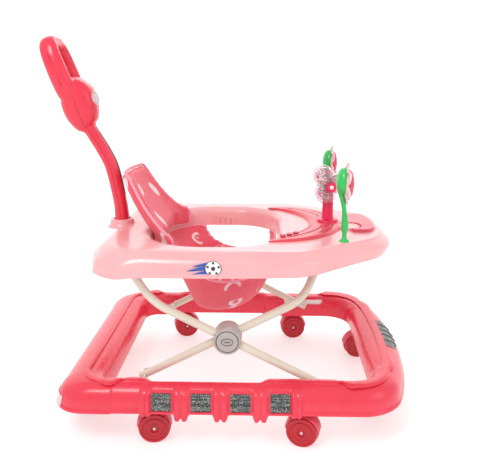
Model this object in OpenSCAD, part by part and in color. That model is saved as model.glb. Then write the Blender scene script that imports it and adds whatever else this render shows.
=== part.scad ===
// Folding baby walker: a castered base ring, a crossed tube frame and a play tray with a fabric seat.
// +X is forwards, +Y is the child's left, +Z is up. The origin is on the floor, under the middle.

/* [Base ring] */
// Reach of the base in front of the hub pivots
base_front = 372; // [330:1:420]
// Reach of the base behind the hub pivots
base_rear = 330; // [300:1:350]
// Half of the base's width without its ribs
base_half_w = 272; // [262:1:320]
// Height of the base's open underside above the floor
base_bottom = 70; // [66:1:90]
// Height of the base ring itself
base_h = 52; // [46:1:65]
// Wall of the base shell
base_wall = 3; // [2:0.5:3.5]
// Width of the front rail
front_rail = 88; // [76:1:100]
// Width of the rear rail
rear_rail = 92; // [76:1:100]
// Gap from the outer frame tube to the side rail's wall
rail_gap = 3; // [2:0.5:8]
// Width of one side window
window_w = 38; // [24:1:44]
// Spacing of the side windows
window_pitch = 74; // [60:1:78]
// How far the ribs between the windows stand out
rib_out = 5; // [2:0.5:8]

/* [Cross frame] */
// Distance of the lower pivots from the hub, along the base
pivot_x = 164; // [150:1:176]
// Height of the lower pivots
pivot_z = 107; // [103:1:112]
// Distance of the tubes' knees from the hub
knee_x = 143; // [125:1:155]
// Height of the knees
knee_z = 266; // [240:1:290]
// Distance of the upper cross tubes from the hub
top_x = 190; // [180:1:200]
// Height of the upper cross tubes
top_z = 345; // [330:1:380]
// Outer diameter of the steel tube
tube_d = 16; // [12:0.5:18]
// Wall of the steel tube
tube_wall = 1.2; // [0.8:0.1:2]
// Distance of the outer frame's sides from the middle
outer_y = 201; // [190:1:215]
// Half of the front cross tube under the tray
front_bar_half = 108; // [80:1:115]
// Diameter of the pivot bolts
bolt_d = 8; // [6:0.5:9]
// Diameter of the hub rivets
rivet_d = 10; // [6:0.5:10]
// Diameter of the hub covers
hub_d = 54; // [44:1:56]

/* [Fold] */
// Turn of the front frame when the walker is lowered all the way
fold_down = 24; // [10:1:24]
// Turn of the front frame when the walker is raised all the way
fold_up = 9; // [4:1:9]

/* [Casters] */
// Wheel diameter
wheel_d = 60; // [50:1:60]
// Width of one wheel
wheel_w = 12; // [9:0.5:14]
// Distance from the swivel pin to the axle
trail = 20; // [16:1:22]
// Swivel pin diameter
pin_d = 8; // [6:0.5:8]
// Axle diameter
axle_d = 6; // [4:0.5:8]

/* [Tray] */
// Reach of the tray in front of the hub
tray_front = 337; // [320:1:350]
// Reach of the tray behind the hub
tray_rear = 265; // [255:1:280]
// Half of the tray's width
tray_half_w = 242; // [232:1:260]
// Height of the tray's skirt
tray_h = 50; // [40:1:60]
// Cover of tray top over the cross tubes
tray_cover = 19; // [17:1:26]
// Wall of the tray
tray_wall = 3; // [2:0.5:4]
// Half of the seat opening's width
opening_half_w = 168; // [150:1:168]
// Thickness of the toy panels
panel_h = 7; // [5:0.5:10]

/* [Handle] */
// Reach of the push handle behind the hub
handle_reach = 372; // [350:1:400]
// Height of the handle's top above the floor
handle_top = 765; // [700:1:820]
// Half of the loop's width
loop_half_w = 50; // [44:1:60]

/* [Seat] */
// Height of the seat's lowest point
seat_low = 190; // [170:1:220]
// Height of the seat back above the tray
back_h = 128; // [100:1:150]
// Thickness of the seat fabric and its padding
pad_t = 12; // [8:1:16]

/* [Toys] */
// Diameter of a flower's petals
flower_d = 80; // [60:1:90]
// Height of the flower hubs above the tray
flower_rise = 112; // [90:1:130]
// Height of the bead spinner's axle above the tray
rattle_rise = 88; // [75:1:100]

/* [Fits] */
// Clearance all round a pin in its bore
fit = 0.05; // [0.02:0.01:0.1]
// Gap between parts that slide past each other
slide_gap = 0.4; // [0.3:0.05:0.8]

/* [Hidden] */
$fn = 48;
hull_fn = 32;

eps = 0.01;
base_top = base_bottom + base_h;
tube_r = tube_d / 2;
inner_y = outer_y - tube_d - 2;
side_inner = outer_y + tube_r + rail_gap;
waist_inner = side_inner + 16;
waist_from = -pivot_x + 24;
waist_to = 60;
hub_z = pivot_z + (knee_z - pivot_z) * pivot_x / (pivot_x + knee_x);
mid_y = (outer_y + inner_y) / 2;
bolt_r = bolt_d / 2;
rivet_r = rivet_d / 2;

// Linkage: both frames mirror each other about the hub, so one angle sets everything.
lower_len = norm([pivot_x, hub_z - pivot_z]);
upper_len = norm([top_x, top_z - hub_z]);
lower_ang = atan2(hub_z - pivot_z, pivot_x);
upper_ang = atan2(top_z - hub_z, top_x);
function slider_x(t) = 2 * lower_len * cos(lower_ang + t) - pivot_x;
function guide_x(t) = 2 * upper_len * cos(upper_ang + t) - top_x;
slot_from = slider_x(fold_up) - bolt_r - 8;
slot_to = slider_x(-fold_down) + bolt_r + 8;
guide_from = guide_x(fold_up) - tube_r - 1;
guide_to = guide_x(-fold_down) + tube_r + 1;

tray_top = top_z + tube_r + tray_cover;
tray_bottom = tray_top - tray_h;
tray_under = tray_top - tray_wall;

wheel_r = wheel_d / 2;
hood_web = pin_d + 4;
wheel_y = hood_web / 2 + 1;
hood_top = base_bottom - 1;
front_caster_x = base_front - 52;
rear_caster_x = base_rear - 46;
side_caster_y = base_half_w - 29;
end_caster_y = 137;
side_rear_x = -160;
side_front_x = 126;
// Each caster: pin x, pin y, direction in which it trails
casters = [
    [side_rear_x, -side_caster_y, 8], [side_front_x, -side_caster_y, -14], [side_rear_x, side_caster_y, 12],
    [side_front_x, side_caster_y, 5], [front_caster_x, -end_caster_y, 168], [front_caster_x, end_caster_y, 186],
    [-rear_caster_x, -end_caster_y, 176], [-rear_caster_x, end_caster_y, 190]
];

red = "#F03C55";
hood_pink = "#EC6A80";
wheel_red = "#C8142A";
tray_pink = "#F8C4C6";
cream = "#DCD2BE";
grey = "#B0A6A2";
steel = "#C4C6C8";
green = "#48C868";
magenta = "#F02060";

// ---- helpers ----
module both_sides() {
    children();
    mirror([0, 1, 0]) children();
}
// Cylinder along +Y from y0 to y1, at x, z
module along_y(x, z, y0, y1, r) {
    translate([x, y0, z]) rotate([-90, 0, 0]) cylinder(r = r, h = y1 - y0);
}
// Cylinder between two points
module rod(a, b, r) {
    d = b - a;
    translate(a) rotate([0, acos(d[2] / norm(d)), atan2(d[1], d[0])]) cylinder(r = r, h = norm(d));
}

// ---- base ring ----
// Points of an arc about a centre
function arc(x, y, r, a0, a1, n) = [
    for (i = [0 : n]) let (a = a0 + (a1 - a0) * i / n) [x + r * cos(a), y + r * sin(a)]
];
corner_r = 90;
bow = 30;
// Rounded rectangle whose front edge bows forwards and meets its corners smoothly
module base_outline() {
    cy = base_half_w - 60;
    fy = base_half_w - corner_r;
    corner_x = base_front - bow - corner_r;
    bow_r = (pow(corner_r + bow, 2) + fy * fy - corner_r * corner_r) / (2 * bow);
    bow_ang = asin(fy / (bow_r - corner_r));
    polygon(concat(
        arc(base_front - bow_r, 0, bow_r, -bow_ang, bow_ang, 14),
        arc(corner_x, fy, corner_r, bow_ang + 8, 90, 8),
        arc(60 - base_rear, cy, 60, 90, 180, 8),
        arc(60 - base_rear, -cy, 60, 180, 270, 8),
        arc(corner_x, -fy, corner_r, -90, -bow_ang - 8, 8)
    ));
}
module base_opening() {
    rear = rear_rail - base_rear;
    front = base_front - front_rail;
    polygon(concat(
        arc(front - 60, side_inner - 60, 60, 0, 90, 6),
        [[waist_to + 14, side_inner], [waist_to, waist_inner], [waist_from, waist_inner],
         [waist_from - 14, side_inner]],
        arc(rear + 30, side_inner - 30, 30, 90, 180, 5),
        arc(rear + 30, 30 - side_inner, 30, 180, 270, 5),
        [[waist_from - 14, -side_inner], [waist_from, -waist_inner], [waist_to, -waist_inner],
         [waist_to + 14, -side_inner]],
        arc(front - 60, 60 - side_inner, 60, -90, 0, 6)
    ));
}
// Stepped ring whose outer side rounds over; out grows it outwards, in thins it for the cavity
base_steps = [[0, 0.36, 0, 0], [0.36, 0.6, 5, 1.5], [0.6, 0.8, 12, 3], [0.8, 0.92, 20, 5], [0.92, 1, 27, 7]];
module base_ring(out, wall, low, steps) {
    for (i = [0 : steps - 1]) {
        s = base_steps[i];
        z0 = base_bottom + s[0] * base_h - low - (i == 0 ? 0 : eps);
        z1 = base_bottom + s[1] * base_h - low;
        translate([0, 0, z0]) linear_extrude(z1 - z0) difference() {
            offset(delta = out - wall - s[2]) base_outline();
            offset(delta = s[3] + wall) base_opening();
        }
    }
}
function window_x(i) = -10 + (i - 1.5) * window_pitch;
rib_w = window_pitch - window_w - 16;
grille_low = base_bottom + 0.16 * base_h;
grille_high = base_bottom + 0.36 * base_h + 8;
module base_shell() {
    color(red) difference() {
        union() {
            difference() {
                union() {
                    base_ring(0, 0, 0, 5);
                    intersection() {
                        base_ring(rib_out, 0, 0, 4);
                        both_sides() for (i = [-0.5 : 1 : 3.5])
                            translate([window_x(i) - rib_w / 2, base_half_w - 40, base_bottom])
                                cube([rib_w, 60, base_h]);
                    }
                }
                base_ring(0, base_wall, base_wall, 4);
            }
            for (c = casters) translate([c[0], c[1], base_bottom]) cylinder(r = pin_d / 2 + 6, h = base_h - 6);
            both_sides() along_y(-pivot_x, pivot_z, inner_y + tube_r + slide_gap, side_inner + 12, bolt_r + 6);
        }
        for (c = casters) translate([c[0], c[1], base_bottom - 1]) cylinder(r = pin_d / 2 + fit, h = 41);
        both_sides() {
            for (i = [0 : 3])
                translate([window_x(i) - window_w / 2, base_half_w - 8, grille_low])
                    cube([window_w, 20, grille_high - grille_low]);
            along_y(-pivot_x, pivot_z, inner_y, side_inner + 13, bolt_r + fit);
            translate([slot_from, side_inner - 8, pivot_z - bolt_r - slide_gap])
                cube([slot_to - slot_from, 20, bolt_d + 2 * slide_gap]);
        }
    }
}
module side_grilles() {
    color("#404844") both_sides() for (i = [0 : 3])
        translate([window_x(i) - window_w / 2 - 3, base_half_w - base_wall - 8, grille_low + 1])
            cube([window_w + 6, 3, grille_high - grille_low - 2]);
}
module front_grille() {
    color("#807C78") for (i = [-2 : 2])
        translate([base_front - 50, i * 20 - 8, base_top]) cube([26, 16, 1.5]);
}
module rear_grilles() {
    color("#606460") both_sides() for (i = [0 : 3])
        translate([-base_rear - 1.5, 72 + i * 22, base_bottom + 3]) cube([1.5, 16, 14]);
}
module rear_reflectors() {
    color("#F6C8CC") both_sides()
        translate([-base_rear - 1.5, 175, base_bottom + 4]) cube([1.5, 22, 12]);
}
module caster_pins() {
    color(steel) for (c = casters) translate([c[0], c[1], wheel_r + 16])
        cylinder(r = pin_d / 2, h = base_bottom + 38 - wheel_r - 16);
}
module rear_pivot_bolts() {
    color(steel) both_sides() {
        along_y(-pivot_x, pivot_z, inner_y - tube_r - 4, side_inner + 12, bolt_r);
        along_y(-pivot_x, pivot_z, inner_y - tube_r - 4, inner_y - tube_r - slide_gap, bolt_r + 3);
    }
}

// ---- casters ----
module at_caster(i) {
    c = casters[i - 1];
    translate([c[0], c[1], 0]) rotate(c[2]) children();
}
module caster_hood(i) {
    fender_r = wheel_r + 4.5;
    fender_w = 2 * (wheel_y + wheel_w) - 8;
    color(hood_pink) at_caster(i) difference() {
        union() {
            intersection() {
                translate([trail, 0, wheel_r]) rotate([90, 0, 0])
                    cylinder(r = fender_r, h = hood_web, center = true);
                translate([trail - 40, -20, wheel_r - 6]) cube([80, 40, 60]);
            }
            translate([trail, 0, wheel_r]) rotate([90, 0, 0]) cylinder(r = 16, h = hood_web, center = true);
            intersection() {
                translate([trail, 0, wheel_r]) rotate([90, 0, 0]) difference() {
                    cylinder(r = fender_r, h = fender_w, center = true);
                    cylinder(r = wheel_r + 1.5, h = fender_w + 2, center = true);
                }
                translate([trail - 40, -20, wheel_r + 6]) cube([80, 40, 60]);
            }
            translate([0, 0, wheel_r + 33]) cylinder(r = pin_d / 2 + 5, h = hood_top - wheel_r - 33);
            translate([0, -hood_web / 2, wheel_r + 8]) cube([trail, hood_web, 27]);
            translate([-pin_d / 2 - 2, -hood_web / 2, wheel_r + 12])
                cube([pin_d + 4, hood_web, hood_top - wheel_r - 13]);
        }
        translate([0, 0, wheel_r + 15]) cylinder(r = pin_d / 2 + fit, h = 40);
        translate([trail, 0, wheel_r]) rotate([90, 0, 0]) cylinder(r = axle_d / 2 + fit, h = 40, center = true);
    }
}
module caster_wheels(i) {
    color(wheel_red) at_caster(i) translate([trail, 0, wheel_r]) rotate([90, 0, 0]) {
        cylinder(r = axle_d / 2, h = 2 * (wheel_y + wheel_w) + 2, center = true);
        for (s = [0, 1]) mirror([0, 0, s]) difference() {
            translate([0, 0, wheel_y]) cylinder(r = wheel_r, h = wheel_w);
            translate([0, 0, wheel_y + wheel_w - 2]) difference() {
                cylinder(r = wheel_r - 5, h = 3);
                translate([0, 0, -1]) cylinder(r = wheel_r - 16, h = 5);
            }
            translate([0, 0, wheel_y + wheel_w - 3]) difference() {
                cylinder(r = axle_d / 2 + 4, h = 4);
                translate([0, 0, -1]) cylinder(r = axle_d / 2, h = 6);
            }
        }
    }
}

// ---- crossed frames ----
// Straight part of one side, extended past the lower pivot
function leg_start(y, over) =
    let (low = [-pivot_x, y, pivot_z], knee = [knee_x, y, knee_z], u = (knee - low) / norm(knee - low))
    low - u * over;
function unit(v) = v / norm(v);
function bezier(a, b, c, t) = (1 - t) * (1 - t) * a + 2 * t * (1 - t) * b + t * t * c;
// Points of a bend at b that starts and ends a distance d from it
function bend(a, b, c, d) = [for (i = [0 : 5]) bezier(b + unit(a - b) * d, b, b + unit(c - b) * d, i / 5)];
knee_bend = 34;
top_bend = 40;
tube_sides = 20;
function frame_path(y, top_y) =
    let (
        low = leg_start(y, 13),
        knee = [knee_x, y, knee_z],
        tip = [top_x, top_y, top_z],
        half = concat([low], bend(low, knee, tip, knee_bend), bend(knee, tip, [top_x, 0, top_z], top_bend)),
        n = len(half)
    )
    concat(half, [for (i = [n - 1 : -1 : 0]) [half[i][0], -half[i][1], half[i][2]]]);
function ring(p, t, r) =
    let (e = unit(cross([1, 0, -0.9], t)), f = cross(t, e))
    [for (i = [0 : tube_sides - 1]) let (a = 360 * i / tube_sides) p + r * (cos(a) * e + sin(a) * f)];
function tangent(path, k) = unit(path[min(k + 1, len(path) - 1)] - path[max(k - 1, 0)]);
// Hollow tube swept along a path
module swept_tube(path, r_out, r_in) {
    n = tube_sides;
    m = len(path);
    points = concat(
        [for (k = [0 : m - 1], q = ring(path[k], tangent(path, k), r_out)) q],
        [for (k = [0 : m - 1], q = ring(path[k], tangent(path, k), r_in)) q]
    );
    function at(wall, k, i) = (wall * m + k) * n + i % n;
    faces = concat(
        [for (w = [0, 1], k = [0 : m - 2], i = [0 : n - 1], h = [0, 1])
            let (a = at(w, k, i), b = at(w, k, i + 1), c = at(w, k + 1, i + 1), d = at(w, k + 1, i))
            w == 0 ? (h == 0 ? [a, b, c] : [a, c, d]) : (h == 0 ? [c, b, a] : [d, c, a])],
        [for (i = [0 : n - 1], h = [0, 1])
            let (a = at(0, 0, i), b = at(0, 0, i + 1), c = at(1, 0, i + 1), d = at(1, 0, i))
            h == 0 ? [c, b, a] : [d, c, a]],
        [for (i = [0 : n - 1], h = [0, 1])
            let (a = at(0, m - 1, i), b = at(0, m - 1, i + 1), c = at(1, m - 1, i + 1), d = at(1, m - 1, i))
            h == 0 ? [a, b, c] : [a, c, d]]
    );
    polyhedron(points, faces);
}
module frame(y, top_y) {
    difference() {
        swept_tube(frame_path(y, top_y), tube_r, tube_r - tube_wall);
        both_sides() {
            along_y(-pivot_x, pivot_z, y - 20, y + 20, bolt_r + fit);
            along_y(0, hub_z, y - 20, y + 20, rivet_r + fit);
        }
    }
}
module leg_space(y) {
    rod(leg_start(y, 0), [knee_x, y, knee_z], tube_r + 0.1);
}
module front_frame_tube() color(cream) frame(inner_y, front_bar_half);
module rear_frame_tube() color(cream) mirror([1, 0, 0]) frame(outer_y, outer_y);
module hub_inner_shells() {
    color(grey) both_sides() difference() {
        along_y(0, hub_z, inner_y - tube_r - 3, mid_y - slide_gap, hub_d / 2);
        leg_space(inner_y);
        along_y(0, hub_z, inner_y - 30, mid_y + 1, rivet_r + fit);
    }
}
module hub_caps() {
    y1 = outer_y + tube_r + 9;
    color(grey) both_sides() difference() {
        along_y(0, hub_z, mid_y + slide_gap, y1, hub_d / 2);
        mirror([1, 0, 0]) leg_space(outer_y);
        along_y(0, hub_z, mid_y, outer_y + tube_r + 4, rivet_r + fit);
        difference() {
            along_y(0, hub_z, y1 - 1, y1 + 1, hub_d / 2 - 5);
            along_y(0, hub_z, y1 - 2, y1 + 2, hub_d / 2 - 7);
        }
    }
}
module hub_rivets() {
    color(steel) both_sides() {
        along_y(0, hub_z, inner_y - tube_r - 5, outer_y + tube_r + 3, rivet_r);
        along_y(0, hub_z, inner_y - tube_r - 5, inner_y - tube_r - 3, rivet_r + 3);
    }
}
module slider_bolts() {
    color(steel) both_sides() {
        along_y(pivot_x, pivot_z, outer_y - tube_r - 2, side_inner + 13, bolt_r);
        along_y(pivot_x, pivot_z, side_inner + 9, side_inner + 13, bolt_r + 3);
    }
}

// ---- tray ----
nose_r = 115;
nose_y = 48;
tray_corner_r = 100;
flank_x = 120;
// Angle at which the flank leaves the round corner for the nose
flank_ang = atan2(tray_front - nose_r - flank_x, tray_half_w - tray_corner_r - nose_y) - 7;
module tray_outline() {
    cy = tray_half_w - tray_corner_r;
    polygon(concat(
        arc(tray_front - nose_r, nose_y, nose_r, 0, flank_ang + 10, 8),
        arc(flank_x, cy, tray_corner_r, flank_ang + 6, 90, 6),
        arc(tray_corner_r - tray_rear, cy, tray_corner_r, 90, 180, 12),
        arc(tray_corner_r - tray_rear, -cy, tray_corner_r, 180, 270, 12),
        arc(flank_x, -cy, tray_corner_r, 270, 354 - flank_ang, 6),
        arc(tray_front - nose_r, -nose_y, nose_r, 350 - flank_ang, 360, 8)
    ));
}
opening_front = 98;
opening_rear = 160;
opening_front_r = 100;
opening_rear_r = 110;
module tray_opening(d) {
    front_x = opening_front - opening_front_r;
    front_y = opening_half_w - opening_front_r;
    rear_x = opening_rear_r - opening_rear;
    rear_y = opening_half_w - opening_rear_r;
    polygon(concat(
        arc(front_x, front_y, opening_front_r + d, 0, 90, 10),
        arc(rear_x, rear_y, opening_rear_r + d, 90, 180, 10),
        arc(rear_x, -rear_y, opening_rear_r + d, 180, 270, 10),
        arc(front_x, -front_y, opening_front_r + d, 270, 360, 10)
    ));
}
tray_steps = [[0, 0.72, 0], [0.72, 0.9, 5], [0.9, 1, 12]];
module tray_body(wall) {
    for (s = tray_steps) translate([0, 0, tray_bottom + s[0] * tray_h - wall - (s[0] > 0 ? eps : 0)])
        linear_extrude((s[1] - s[0]) * tray_h + eps) difference() {
            offset(delta = -wall - s[2]) tray_outline();
            tray_opening(wall + (s[0] > 0.8 ? 2 : 0));
        }
}
collar_x = -tray_rear + 25;
collar_top = tray_top + 10;
rattle_x = 205;
rattle_foot_r = 14;
flower_x = 224;
flower_y = 142;
button_at = [[105, -128], [118, -118], [131, -106]];
button_r = 5;
module tray_shell() {
    color(tray_pink) difference() {
        union() {
            difference() {
                tray_body(0);
                tray_body(tray_wall);
            }
            translate([collar_x, 0, tray_bottom + tray_h * 0.72]) cylinder(r = 24, h = collar_top - tray_bottom - tray_h * 0.72);
        }
        for (b = button_at) translate([b[0], b[1], tray_under - 8]) cylinder(r = button_r + 1, h = 20);
    }
}
module panel_shape(d) {
    difference() {
        intersection() {
            translate([35, 0]) circle(165 - d, $fn = 96);
            translate([66 + d, -200]) square([200, 400]);
        }
        tray_opening(5 + d);
    }
}
module toy_panel() {
    color(red) difference() {
        union() {
            translate([0, 0, tray_top]) linear_extrude(panel_h - 2) panel_shape(0);
            translate([0, 0, tray_top + panel_h - 2 - eps]) linear_extrude(2 + eps) panel_shape(4);
        }
        for (b = button_at) translate([b[0], b[1], tray_top - 1]) cylinder(r = button_r + slide_gap, h = panel_h + 2);
        translate([rattle_x, 0, tray_top - 1]) cylinder(r = rattle_foot_r + 1, h = panel_h + 2);
    }
}
front_panel_x = 262;
module front_panel() {
    color(red) difference() {
        translate([0, 0, tray_top]) linear_extrude(panel_h) hull() for (s = [-1, 1])
            translate([front_panel_x, s * 36]) circle(42);
        translate([front_panel_x, -40, tray_top + panel_h - 2]) cylinder(r = 24, h = 3);
    }
}
module buttons(i) {
    b = button_at[i - 1];
    color("#FF8C9C") translate([b[0], b[1], tray_under - 6]) {
        cylinder(r = button_r, h = 6 + tray_wall + panel_h + 3);
        cylinder(r = button_r + 2.5, h = 2);
    }
}
clamp_y = 110;
clamp_w = 24;
module rear_tube_clamps() {
    clamp_half = tube_r + 7;
    color(grey) both_sides() difference() {
        translate([-top_x - clamp_half, clamp_y, top_z - clamp_half])
            cube([2 * clamp_half, clamp_w, tray_under - top_z + clamp_half]);
        along_y(-top_x, top_z, clamp_y - 10, clamp_y + clamp_w + 10, tube_r + fit);
    }
}
guide_w = 16;
// The guides stand on the straight part of the cross tube
guide_y = front_bar_half - top_bend - guide_w - 8;
module front_tube_guides() {
    color(grey) both_sides() difference() {
        translate([guide_from - 5, guide_y, top_z - tube_r - 5])
            cube([guide_to - guide_from + 10, guide_w, tray_under - top_z + tube_r + 5]);
        translate([guide_from, guide_y - 1, top_z - tube_r - slide_gap])
            cube([guide_to - guide_from, guide_w + 2, tube_d + 2 * slide_gap]);
    }
}
module_half = guide_y - 6;
module sound_module() {
    color("#303234") translate([guide_from + 12, -module_half, top_z + tube_r + 4])
        cube([60, 2 * module_half, tray_under - top_z - tube_r - 4]);
}
module battery_cover() {
    color(red) translate([guide_from + 10, -module_half - 2, top_z + tube_r + 2])
        cube([64, 2 * module_half + 4, 2]);
}

// ---- push handle ----
// Side outline rows: share of the height from the collar to the top, middle x, half depth
loop_x = -handle_reach + 26;
handle_rows = [
    [0, collar_x, 15], [0.12, collar_x - 3, 14], [0.3, collar_x - 17, 13.5], [0.46, collar_x - 46, 13.5],
    [0.55, collar_x - 62, 22], [0.62, collar_x - 74, 38], [0.69, loop_x + 24, 31], [0.8, loop_x + 10, 27],
    [0.93, loop_x, 26], [0.985, loop_x - 5, 19], [1, loop_x - 6, 12]
];
handle_low = collar_top;
handle_len = handle_top - collar_top;
function row_z(r) = handle_low + r[0] * handle_len;
module side_profile(s) {
    polygon(concat(
        [for (r = handle_rows) [r[1], row_z(r)]],
        [for (i = [len(handle_rows) - 1 : -1 : 0]) [handle_rows[i][1] + s * handle_rows[i][2], row_z(handle_rows[i])]]
    ));
}
loop_low = handle_low + 0.66 * handle_len;
module front_profile() {
    difference() {
        union() {
            translate([-18, handle_low]) square([36, 0.6 * handle_len]);
            hull() {
                translate([0, handle_low + 0.6 * handle_len]) circle(30);
                for (s = [-1, 1]) {
                    translate([s * (loop_half_w - 20), handle_low + 0.74 * handle_len]) circle(20);
                    translate([s * (loop_half_w - 24), handle_top - 24]) circle(24);
                }
            }
        }
        hull() for (s = [-1, 1]) {
            translate([s * (loop_half_w - 34), handle_low + 0.74 * handle_len]) circle(12);
            translate([s * (loop_half_w - 34), handle_top - 38]) circle(12);
        }
    }
}
module handle_half(s) {
    intersection() {
        translate([0, loop_half_w + 5, 0]) rotate([90, 0, 0]) linear_extrude(2 * loop_half_w + 10) side_profile(s);
        translate([-handle_reach - 40, 0, 0]) rotate([90, 0, 90]) linear_extrude(300) front_profile();
    }
}
module handle_front_shell() color(red) handle_half(1);
module handle_rear_shell() color(red) handle_half(-1);
bulb = handle_rows[5];
module handle_emblem() {
    color("#E8E6E6") translate([bulb[1] + bulb[2], 0, row_z(bulb)]) rotate([0, 90, 0]) cylinder(r = 15, h = 2.5);
}
module handle_strip() {
    rows = [handle_rows[1], handle_rows[2], handle_rows[3]];
    color("#5A2A34") translate([0, 4, 0]) rotate([90, 0, 0]) linear_extrude(8)
        polygon(concat(
            [for (r = rows) [r[1] + r[2], row_z(r)]],
            [for (i = [2 : -1 : 0]) [rows[i][1] + rows[i][2] + 1.5, row_z(rows[i])]]
        ));
}

// ---- seat ----
module seat_rim(d, z, h) {
    translate([0, 0, z]) linear_extrude(h) tray_opening(-d);
}
seat_low_x = -40;
rim_inset = 3.5;
rim_top = tray_bottom + 12;
module sling_solid(d, top) {
    $fn = hull_fn;
    hull() {
        seat_rim(rim_inset + d, top - 1, 1);
        seat_rim(14 + d, tray_bottom - 20, 1);
        translate([seat_low_x, 0, seat_low + 40]) scale([1, 1.25, 1]) cylinder(r = 84 - d, h = 1);
        translate([seat_low_x, 0, seat_low + d]) cylinder(r = 46 - d / 2, h = 1);
    }
}
leg_hole_r = 26;
leg_hole_z = tray_bottom - leg_hole_r - 6;
leg_hole_x = 2;
module leg_holes() {
    translate([leg_hole_x, opening_half_w, leg_hole_z]) rotate([90, 0, 0]) linear_extrude(2 * opening_half_w)
        hull() for (s = [-1, 1]) translate([s * leg_hole_r, 0]) circle(leg_hole_r);
}
module seat_sling() {
    color("#F0586C") difference() {
        sling_solid(0, rim_top);
        sling_solid(5, rim_top + 6);
        leg_holes();
        translate([-220, -260, tray_bottom + 4]) cube([142, 520, 200]);
    }
}
// Rear part of the opening's outline, cut off in front of x
module back_band(d, x) {
    intersection() {
        tray_opening(-d);
        translate([-400, -300]) square([400 + x, 600]);
    }
}
back_top = tray_top + back_h;
back_low = tray_bottom + 6;
// Inside the opening the back follows its wall, and above the tray it leans towards the handle
module back_solid(d, x) {
    $fn = hull_fn;
    translate([0, 0, back_low - d / 3]) linear_extrude(tray_top - back_low + 1 + d / 3) back_band(rim_inset + d, x);
    hull() {
        translate([0, 0, tray_top]) linear_extrude(1) back_band(rim_inset + d, x - 20);
        translate([-opening_rear - 52 + d, -62 + d / 2, back_top - 1 + d / 3]) cube([14, 124 - d, 1]);
    }
}
module seat_back() {
    color("#F0586C") difference() {
        back_solid(0, -90);
        back_solid(pad_t, -60);
        translate([-99, -300, tray_bottom]) cube([100, 600, 300]);
    }
}
clip_w = 10;
clip_pitch = 13;
clips_x = -(opening_rear - opening_rear_r - opening_front + opening_front_r) / 2;
module seat_clips() {
    color("#F6C8CC") for (a = [-1.5 : 1 : 1.5])
        translate([clips_x + a * clip_pitch - clip_w / 2, 0, tray_bottom + 6]) both_sides()
            translate([0, opening_half_w - 3.2, 0]) cube([clip_w, 3, 18]);
}

// ---- toys ----
flower_z = tray_top + flower_rise;
stem_r = 5;
flower_pin = 4;
module flower_stems() {
    color(green) both_sides() {
        translate([flower_x, flower_y, tray_top]) cylinder(r = 11, h = 6);
        translate([flower_x, flower_y, tray_top + 6 - eps]) cylinder(r = stem_r, h = flower_rise - 20);
        difference() {
            translate([flower_x - 9, flower_y, flower_z]) rotate([0, 90, 0]) cylinder(r = 24, h = 10);
            translate([flower_x - 2, flower_y, flower_z]) rotate([0, 90, 0]) cylinder(r = 20, h = 10);
        }
        translate([flower_x - 3, flower_y, flower_z]) rotate([0, 90, 0]) cylinder(r = flower_pin, h = 21);
    }
}
module flower_petals(s) {
    color("#F8DADE") translate([flower_x + stem_r + 1, s * flower_y, flower_z]) rotate([0, 90, 0]) difference() {
        linear_extrude(6) offset(r = 2) offset(delta = -2) {
            circle(flower_d * 0.26);
            for (i = [0 : 5]) rotate(i * 60) translate([flower_d * 0.32, 0]) circle(flower_d * 0.18, $fn = hull_fn);
        }
        translate([0, 0, -1]) cylinder(r = flower_pin + fit, h = 9);
    }
}
module flower_centre(s) {
    color(red) translate([flower_x + stem_r + 7, s * flower_y, flower_z]) rotate([0, 90, 0]) difference() {
        union() {
            cylinder(r = flower_d * 0.17, h = 6);
            translate([0, 0, 5]) cylinder(r1 = flower_d * 0.17, r2 = flower_d * 0.09, h = 4);
        }
        translate([0, 0, -1]) cylinder(r = flower_pin + fit, h = 8.5);
    }
}
rattle_z = tray_top + rattle_rise;
rattle_pin = 3;
lobe_r = 18;
lobe_at = 24;
module rattle_stand() {
    color(magenta) {
        translate([rattle_x, 0, tray_top]) cylinder(r = rattle_foot_r, h = 10);
        translate([rattle_x - 5, -16, tray_top + 9]) cube([10, 32, 10]);
        both_sides() {
            translate([rattle_x - 5, 24, tray_top + 12]) cube([10, 5, rattle_rise - 12]);
            translate([rattle_x - 5, 14, tray_top + 12]) cube([10, 13, 6]);
            along_y(rattle_x, rattle_z, 24, 30, 9);
        }
        along_y(rattle_x, rattle_z, -29, 29, rattle_pin);
    }
}
module rattle_shell() {
    color("#F4E8EC") translate([rattle_x, 0, rattle_z]) difference() {
        union() {
            for (i = [0 : 2]) rotate([0, i * 120 + 35, 0]) translate([lobe_at, 0, 0]) difference() {
                sphere(r = lobe_r);
                sphere(r = lobe_r - 1.5);
            }
            rotate([90, 0, 0]) cylinder(r = 12, h = 30, center = true);
        }
        rotate([90, 0, 0]) cylinder(r = rattle_pin + fit, h = 80, center = true);
    }
}
module rattle_beads() {
    color("#F070A0") translate([rattle_x, 0, rattle_z])
        for (i = [0 : 2], j = [0 : 3]) rotate([0, i * 120 + 35, 0])
            translate([lobe_at + 4, 0, 0]) rotate([j * 90, 0, 0]) translate([0, 0, 8]) sphere(r = 3, $fn = 16);
}

base_shell();
side_grilles();
front_grille();
rear_grilles();
rear_reflectors();
caster_pins();
rear_pivot_bolts();
for (i = [1 : 8]) caster_hood(i);
for (i = [1 : 8]) caster_wheels(i);
front_frame_tube();
hub_inner_shells();
hub_rivets();
rear_frame_tube();
hub_caps();
slider_bolts();
tray_shell();
toy_panel();
front_panel();
rear_tube_clamps();
front_tube_guides();
sound_module();
battery_cover();
handle_front_shell();
handle_rear_shell();
handle_emblem();
handle_strip();
seat_back();
seat_sling();
seat_clips();
for (i = [1 : 3]) buttons(i);
flower_stems();
flower_petals(-1);  // flower_petals_right
flower_centre(-1);  // flower_centre_right
flower_petals(1);  // flower_petals_left
flower_centre(1);  // flower_centre_left
rattle_stand();
rattle_shell();
rattle_beads();
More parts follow.
